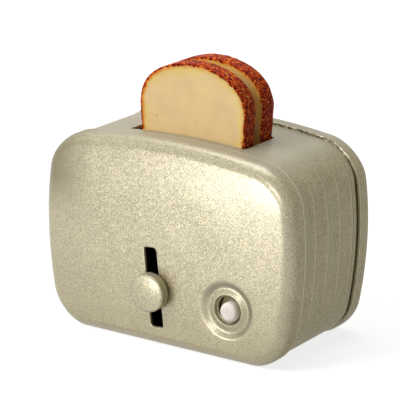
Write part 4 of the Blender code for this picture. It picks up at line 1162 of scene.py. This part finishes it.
def slice_mesh(start_y, seed):
    """One slice, with each point's distance in from the rim kept for its paint."""
    outline = slice_outline()
    count = len(outline)
    angles = [math.pi / 2 * i / slice_round_steps for i in range(slice_round_steps + 1)]
    edge = [(slice_round * (1 - math.sin(a)), slice_round * (1 - math.cos(a))) for a in angles]
    rings = edge + [(0, slice_thickness * share) for share in (0.3, 0.5, 0.7)]
    rings += [(distance, slice_thickness - y) for distance, y in reversed(edge)]
    bm = bmesh.new()
    rim = bm.verts.layers.float.new("rim")
    verts = []
    for distance, along in rings:
        verts.append([])
        for x, z in inset(outline, distance):
            lumps = slice_lumps * noise.noise(Vector((x, along + seed, z)) / slice_lump_size)
            out = Vector((x, 0, z - slice_height * 0.45)).normalized() * lumps
            vert = bm.verts.new((x + out.x, start_y + along, z + out.z))
            vert[rim] = distance
            verts[-1].append(vert)
    for first, second in zip(verts, verts[1:]):
        for i in range(count):
            j = (i + 1) % count
            bm.faces.new((first[i], first[j], second[j], second[i]))
    points, triangles = fill([inset(outline, slice_round)], [], slice_spacing)
    crust = search_tree(outline)
    for ring, at, inward in ((verts[0], start_y, 1), (verts[-1], start_y + slice_thickness, -1)):
        face = list(ring)
        for x, z in points[count:]:
            depth = crust.find((x, z, 0))[2]
            dish = slice_dish * min(max((depth - slice_dish_start) / slice_dish_run, 0), 1)
            dish += slice_wave * noise.noise(Vector((x, seed + at * 50, z)) / slice_wave_length)
            vert = bm.verts.new((x, at + inward * max(dish, 0), z))
            vert[rim] = depth
            face.append(vert)
        for triangle in triangles:
            bm.faces.new([face[i] for i in triangle])
    bmesh.ops.translate(bm, verts=bm.verts, vec=(slice_x, 0, slice_foot_z))
    return end_mesh(bm)


def painted_bread(name, cream, yellow, shade):
    """Resin painted by hand: creamy tan faces, an orange bleed at the rim and a mottled red crust.

    The eye gets a soft, faintly glowing face with yellower edges, and a darker crust whose brushed
    mottling is broken by orange flecks and pinpricks of light.
    """
    material, add = new_material(name)
    place = add("ShaderNodeTexCoord").outputs["Object"]
    side = place_parts(add)["X"]
    rim = add("ShaderNodeAttribute", attribute_name="rim").outputs["Fac"]
    ragged = add("ShaderNodeTexNoise",
                 {"Vector": place, "Scale": 1 / (1.1 * mm), "Detail": 4.0, "Roughness": 0.6})
    shift = add("ShaderNodeMath", (ragged, -1.3 * mm, 0.65 * mm), operation="MULTIPLY_ADD")
    depth = add("ShaderNodeMath", (rim, shift), operation="ADD")
    soft = add("ShaderNodeTexNoise", {"Vector": place, "Scale": 1 / (5.0 * mm), "Detail": 2.0})
    patchy = add("ShaderNodeTexNoise", {"Vector": place, "Scale": 1 / (6.0 * mm)})
    warm_reach = add("ShaderNodeMapRange", (patchy, 0.4, 0.6, 1.6 * mm, 4.5 * mm))
    bleed = add("ShaderNodeMapRange", (side, -12.0 * mm, 8.0 * mm, 1.0, 0.3))
    freckle = add("ShaderNodeTexVoronoi", {"Vector": place, "Scale": 1 / (7.0 * mm)})
    mottle = add("ShaderNodeTexNoise",
                 {"Vector": place, "Scale": 1 / (0.9 * mm), "Detail": 3.0, "Roughness": 0.7})
    dab = add("ShaderNodeTexVoronoi", {"Vector": place, "Scale": 1 / (0.3 * mm)}).outputs["Color"]
    darker = add("ShaderNodeMapRange", (side, -12.0 * mm, 10.0 * mm, -0.19, -0.09))
    dabbed = add("ShaderNodeMath", (add("ShaderNodeSeparateColor", (dab,)), 0.5, darker),
                 operation="MULTIPLY_ADD")
    dabbed = add("ShaderNodeMath", (mottle, 0.9, dabbed), operation="MULTIPLY_ADD")
    crust = add("ShaderNodeValToRGB", (dabbed,),
                stops=((0.35, "#4A0A06"), (0.52, "#84160E"), (0.66, "#B43208"), (0.82, "#E86F14"),
                       (1.0, "#FFB856")))
    colour = add("ShaderNodeValToRGB", (soft,), stops=((0.35, cream), (0.7, shade))).outputs[0]
    for mask, over in (((depth, 0.6 * mm, warm_reach, 0.8, 0.0), linear(yellow)),
                       ((depth, 0.5 * mm, 1.2 * mm, bleed, 0.0), linear("#DF7A18")),
                       ((freckle, 0.03, 0.07, 0.7, 0.0), linear("#B9A03E")),
                       ((depth, 0.3 * mm, 0.6 * mm, 1.0, 0.0), crust)):
        colour = add("ShaderNodeMix", {0: add("ShaderNodeMapRange", mask), 6: colour, 7: over},
                     data_type="RGBA").outputs[2]
    bump = add("ShaderNodeBump", {"Strength": 0.6, "Distance": 0.12 * mm, "Height": mottle})
    return end_material(material, {
        "Base Color": colour, "Normal": bump, "Roughness": 0.5, "Specular IOR Level": 0.05,
        "Subsurface Weight": 0.04, "Subsurface Scale": 1.0 * mm})


# The rear slice's yellow and second tan are deeper than the front's: partly its own paint, partly
# painted shade from the slice before it.
for name, seed, cream, yellow, shade in (("front", 5.0, "#EDD095", "#EBCB6E", "#E6C696"),
                                         ("rear", 9.0, "#EED096", "#EBBC52", "#DDB988")):
    start_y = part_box(f"bread_slice_{name}")[0].y - casing_middle_y
    add_piece(f"bread_slice_{name}_loaf", slice_mesh(start_y, seed),
              painted_bread(f"painted_bread_{name}", cream, yellow, shade), "bread",
              f"slice_{name}", f"bread_slice_{name}")


# Floor: a plain table top of white card, much wider than the picture. To the camera and in
# reflections it is white but for the toaster's shadow.

floor_half = 6.0


def by_ray(add, lit, seen):
    """A shader that lights as one and is seen, in glass and gloss too, as the other."""
    path = add("ShaderNodeLightPath").outputs
    sharp = path["Is Camera Ray"]
    for ray in ("Is Glossy Ray", "Is Transmission Ray"):
        sharp = add("ShaderNodeMath", (sharp, path[ray]), operation="MAXIMUM")
    return add("ShaderNodeMixShader", (sharp, lit, seen))


def pale_floor(name):
    """Matt white card: it gives back soft light, and keeps the toaster's shadow."""
    material, add = new_material(name)
    card = add("ShaderNodeBsdfDiffuse", {"Color": linear("#BFBFBF")})
    seen_card = add("ShaderNodeBsdfDiffuse", {"Color": linear("#A0A0A0")})
    glow = add("ShaderNodeEmission", {"Strength": 0.8})
    seen = add("ShaderNodeAddShader", (seen_card, glow))
    add("ShaderNodeOutputMaterial", (by_ray(add, card, seen),))
    return material


floor_mesh = bpy.data.meshes.new("table_top")
floor_mesh.from_pydata([(x * floor_half, y * floor_half, 0)
                        for x, y in ((-1, -1), (1, -1), (1, 1), (-1, 1))], [], [(0, 1, 2, 3)])
floor_mesh.materials.append(pale_floor("white_card"))
table_top = bpy.data.objects.new("table_top", floor_mesh)
bpy.context.scene.collection.objects.link(table_top)


# Light: soft lamps from the upper left and from above in a pale room. The left one is so wide and
# soft that no gloss shows it. A small low lamp before the toaster stands for the window whose sheen
# lies on its face, and one in front for the glints in the dial: they light nothing else.

room_strength = 0.08


def add_lamp(name, place, target, width, height, power, lights=True, mirrored=True):
    """A soft lamp at a place that faces a target. The camera doesn't see the lamp itself."""
    lamp = bpy.data.lights.new(name, "AREA")
    lamp.shape = "RECTANGLE"
    lamp.size = width
    lamp.size_y = height
    lamp.energy = power
    obj = bpy.data.objects.new(name, lamp)
    obj.location = place
    obj.rotation_mode = "QUATERNION"
    obj.rotation_quaternion = (Vector(place) - Vector(target)).to_track_quat("Z", "Y")
    obj.visible_camera = False
    obj.visible_diffuse = lights
    obj.visible_glossy = mirrored
    bpy.context.scene.collection.objects.link(obj)


middle = (0, 0, 20 * mm)
add_lamp("low_lamp", (-48 * mm, -191 * mm, 7 * mm), (5 * mm, -14 * mm, 28 * mm), 70 * mm, 11 * mm,
         0.09, lights=False)
add_lamp("front_lamp", (0.15, -1.0, 0.38), middle, 0.25, 0.25, 2.3, lights=False)
add_lamp("left_lamp", (-0.5, -0.6, 0.6), middle, 0.6, 0.6, 9.4, mirrored=False)
add_lamp("top_lamp", (-0.1, 0.1, 1.0), middle, 0.7, 0.7, 5.2)

world = bpy.data.worlds.new("pale_room")
bpy.context.scene.world = world
world.use_nodes = True
world.node_tree.nodes.clear()
add = partial(add_node, world.node_tree)
room, white = [add("ShaderNodeBackground", {"Color": linear("#FFFFFF"), "Strength": strength})
               for strength in (room_strength, 1.0)]
add("ShaderNodeOutputWorld", (by_ray(add, room, white),))
bpy.context.scene.view_settings.view_transform = "Standard"
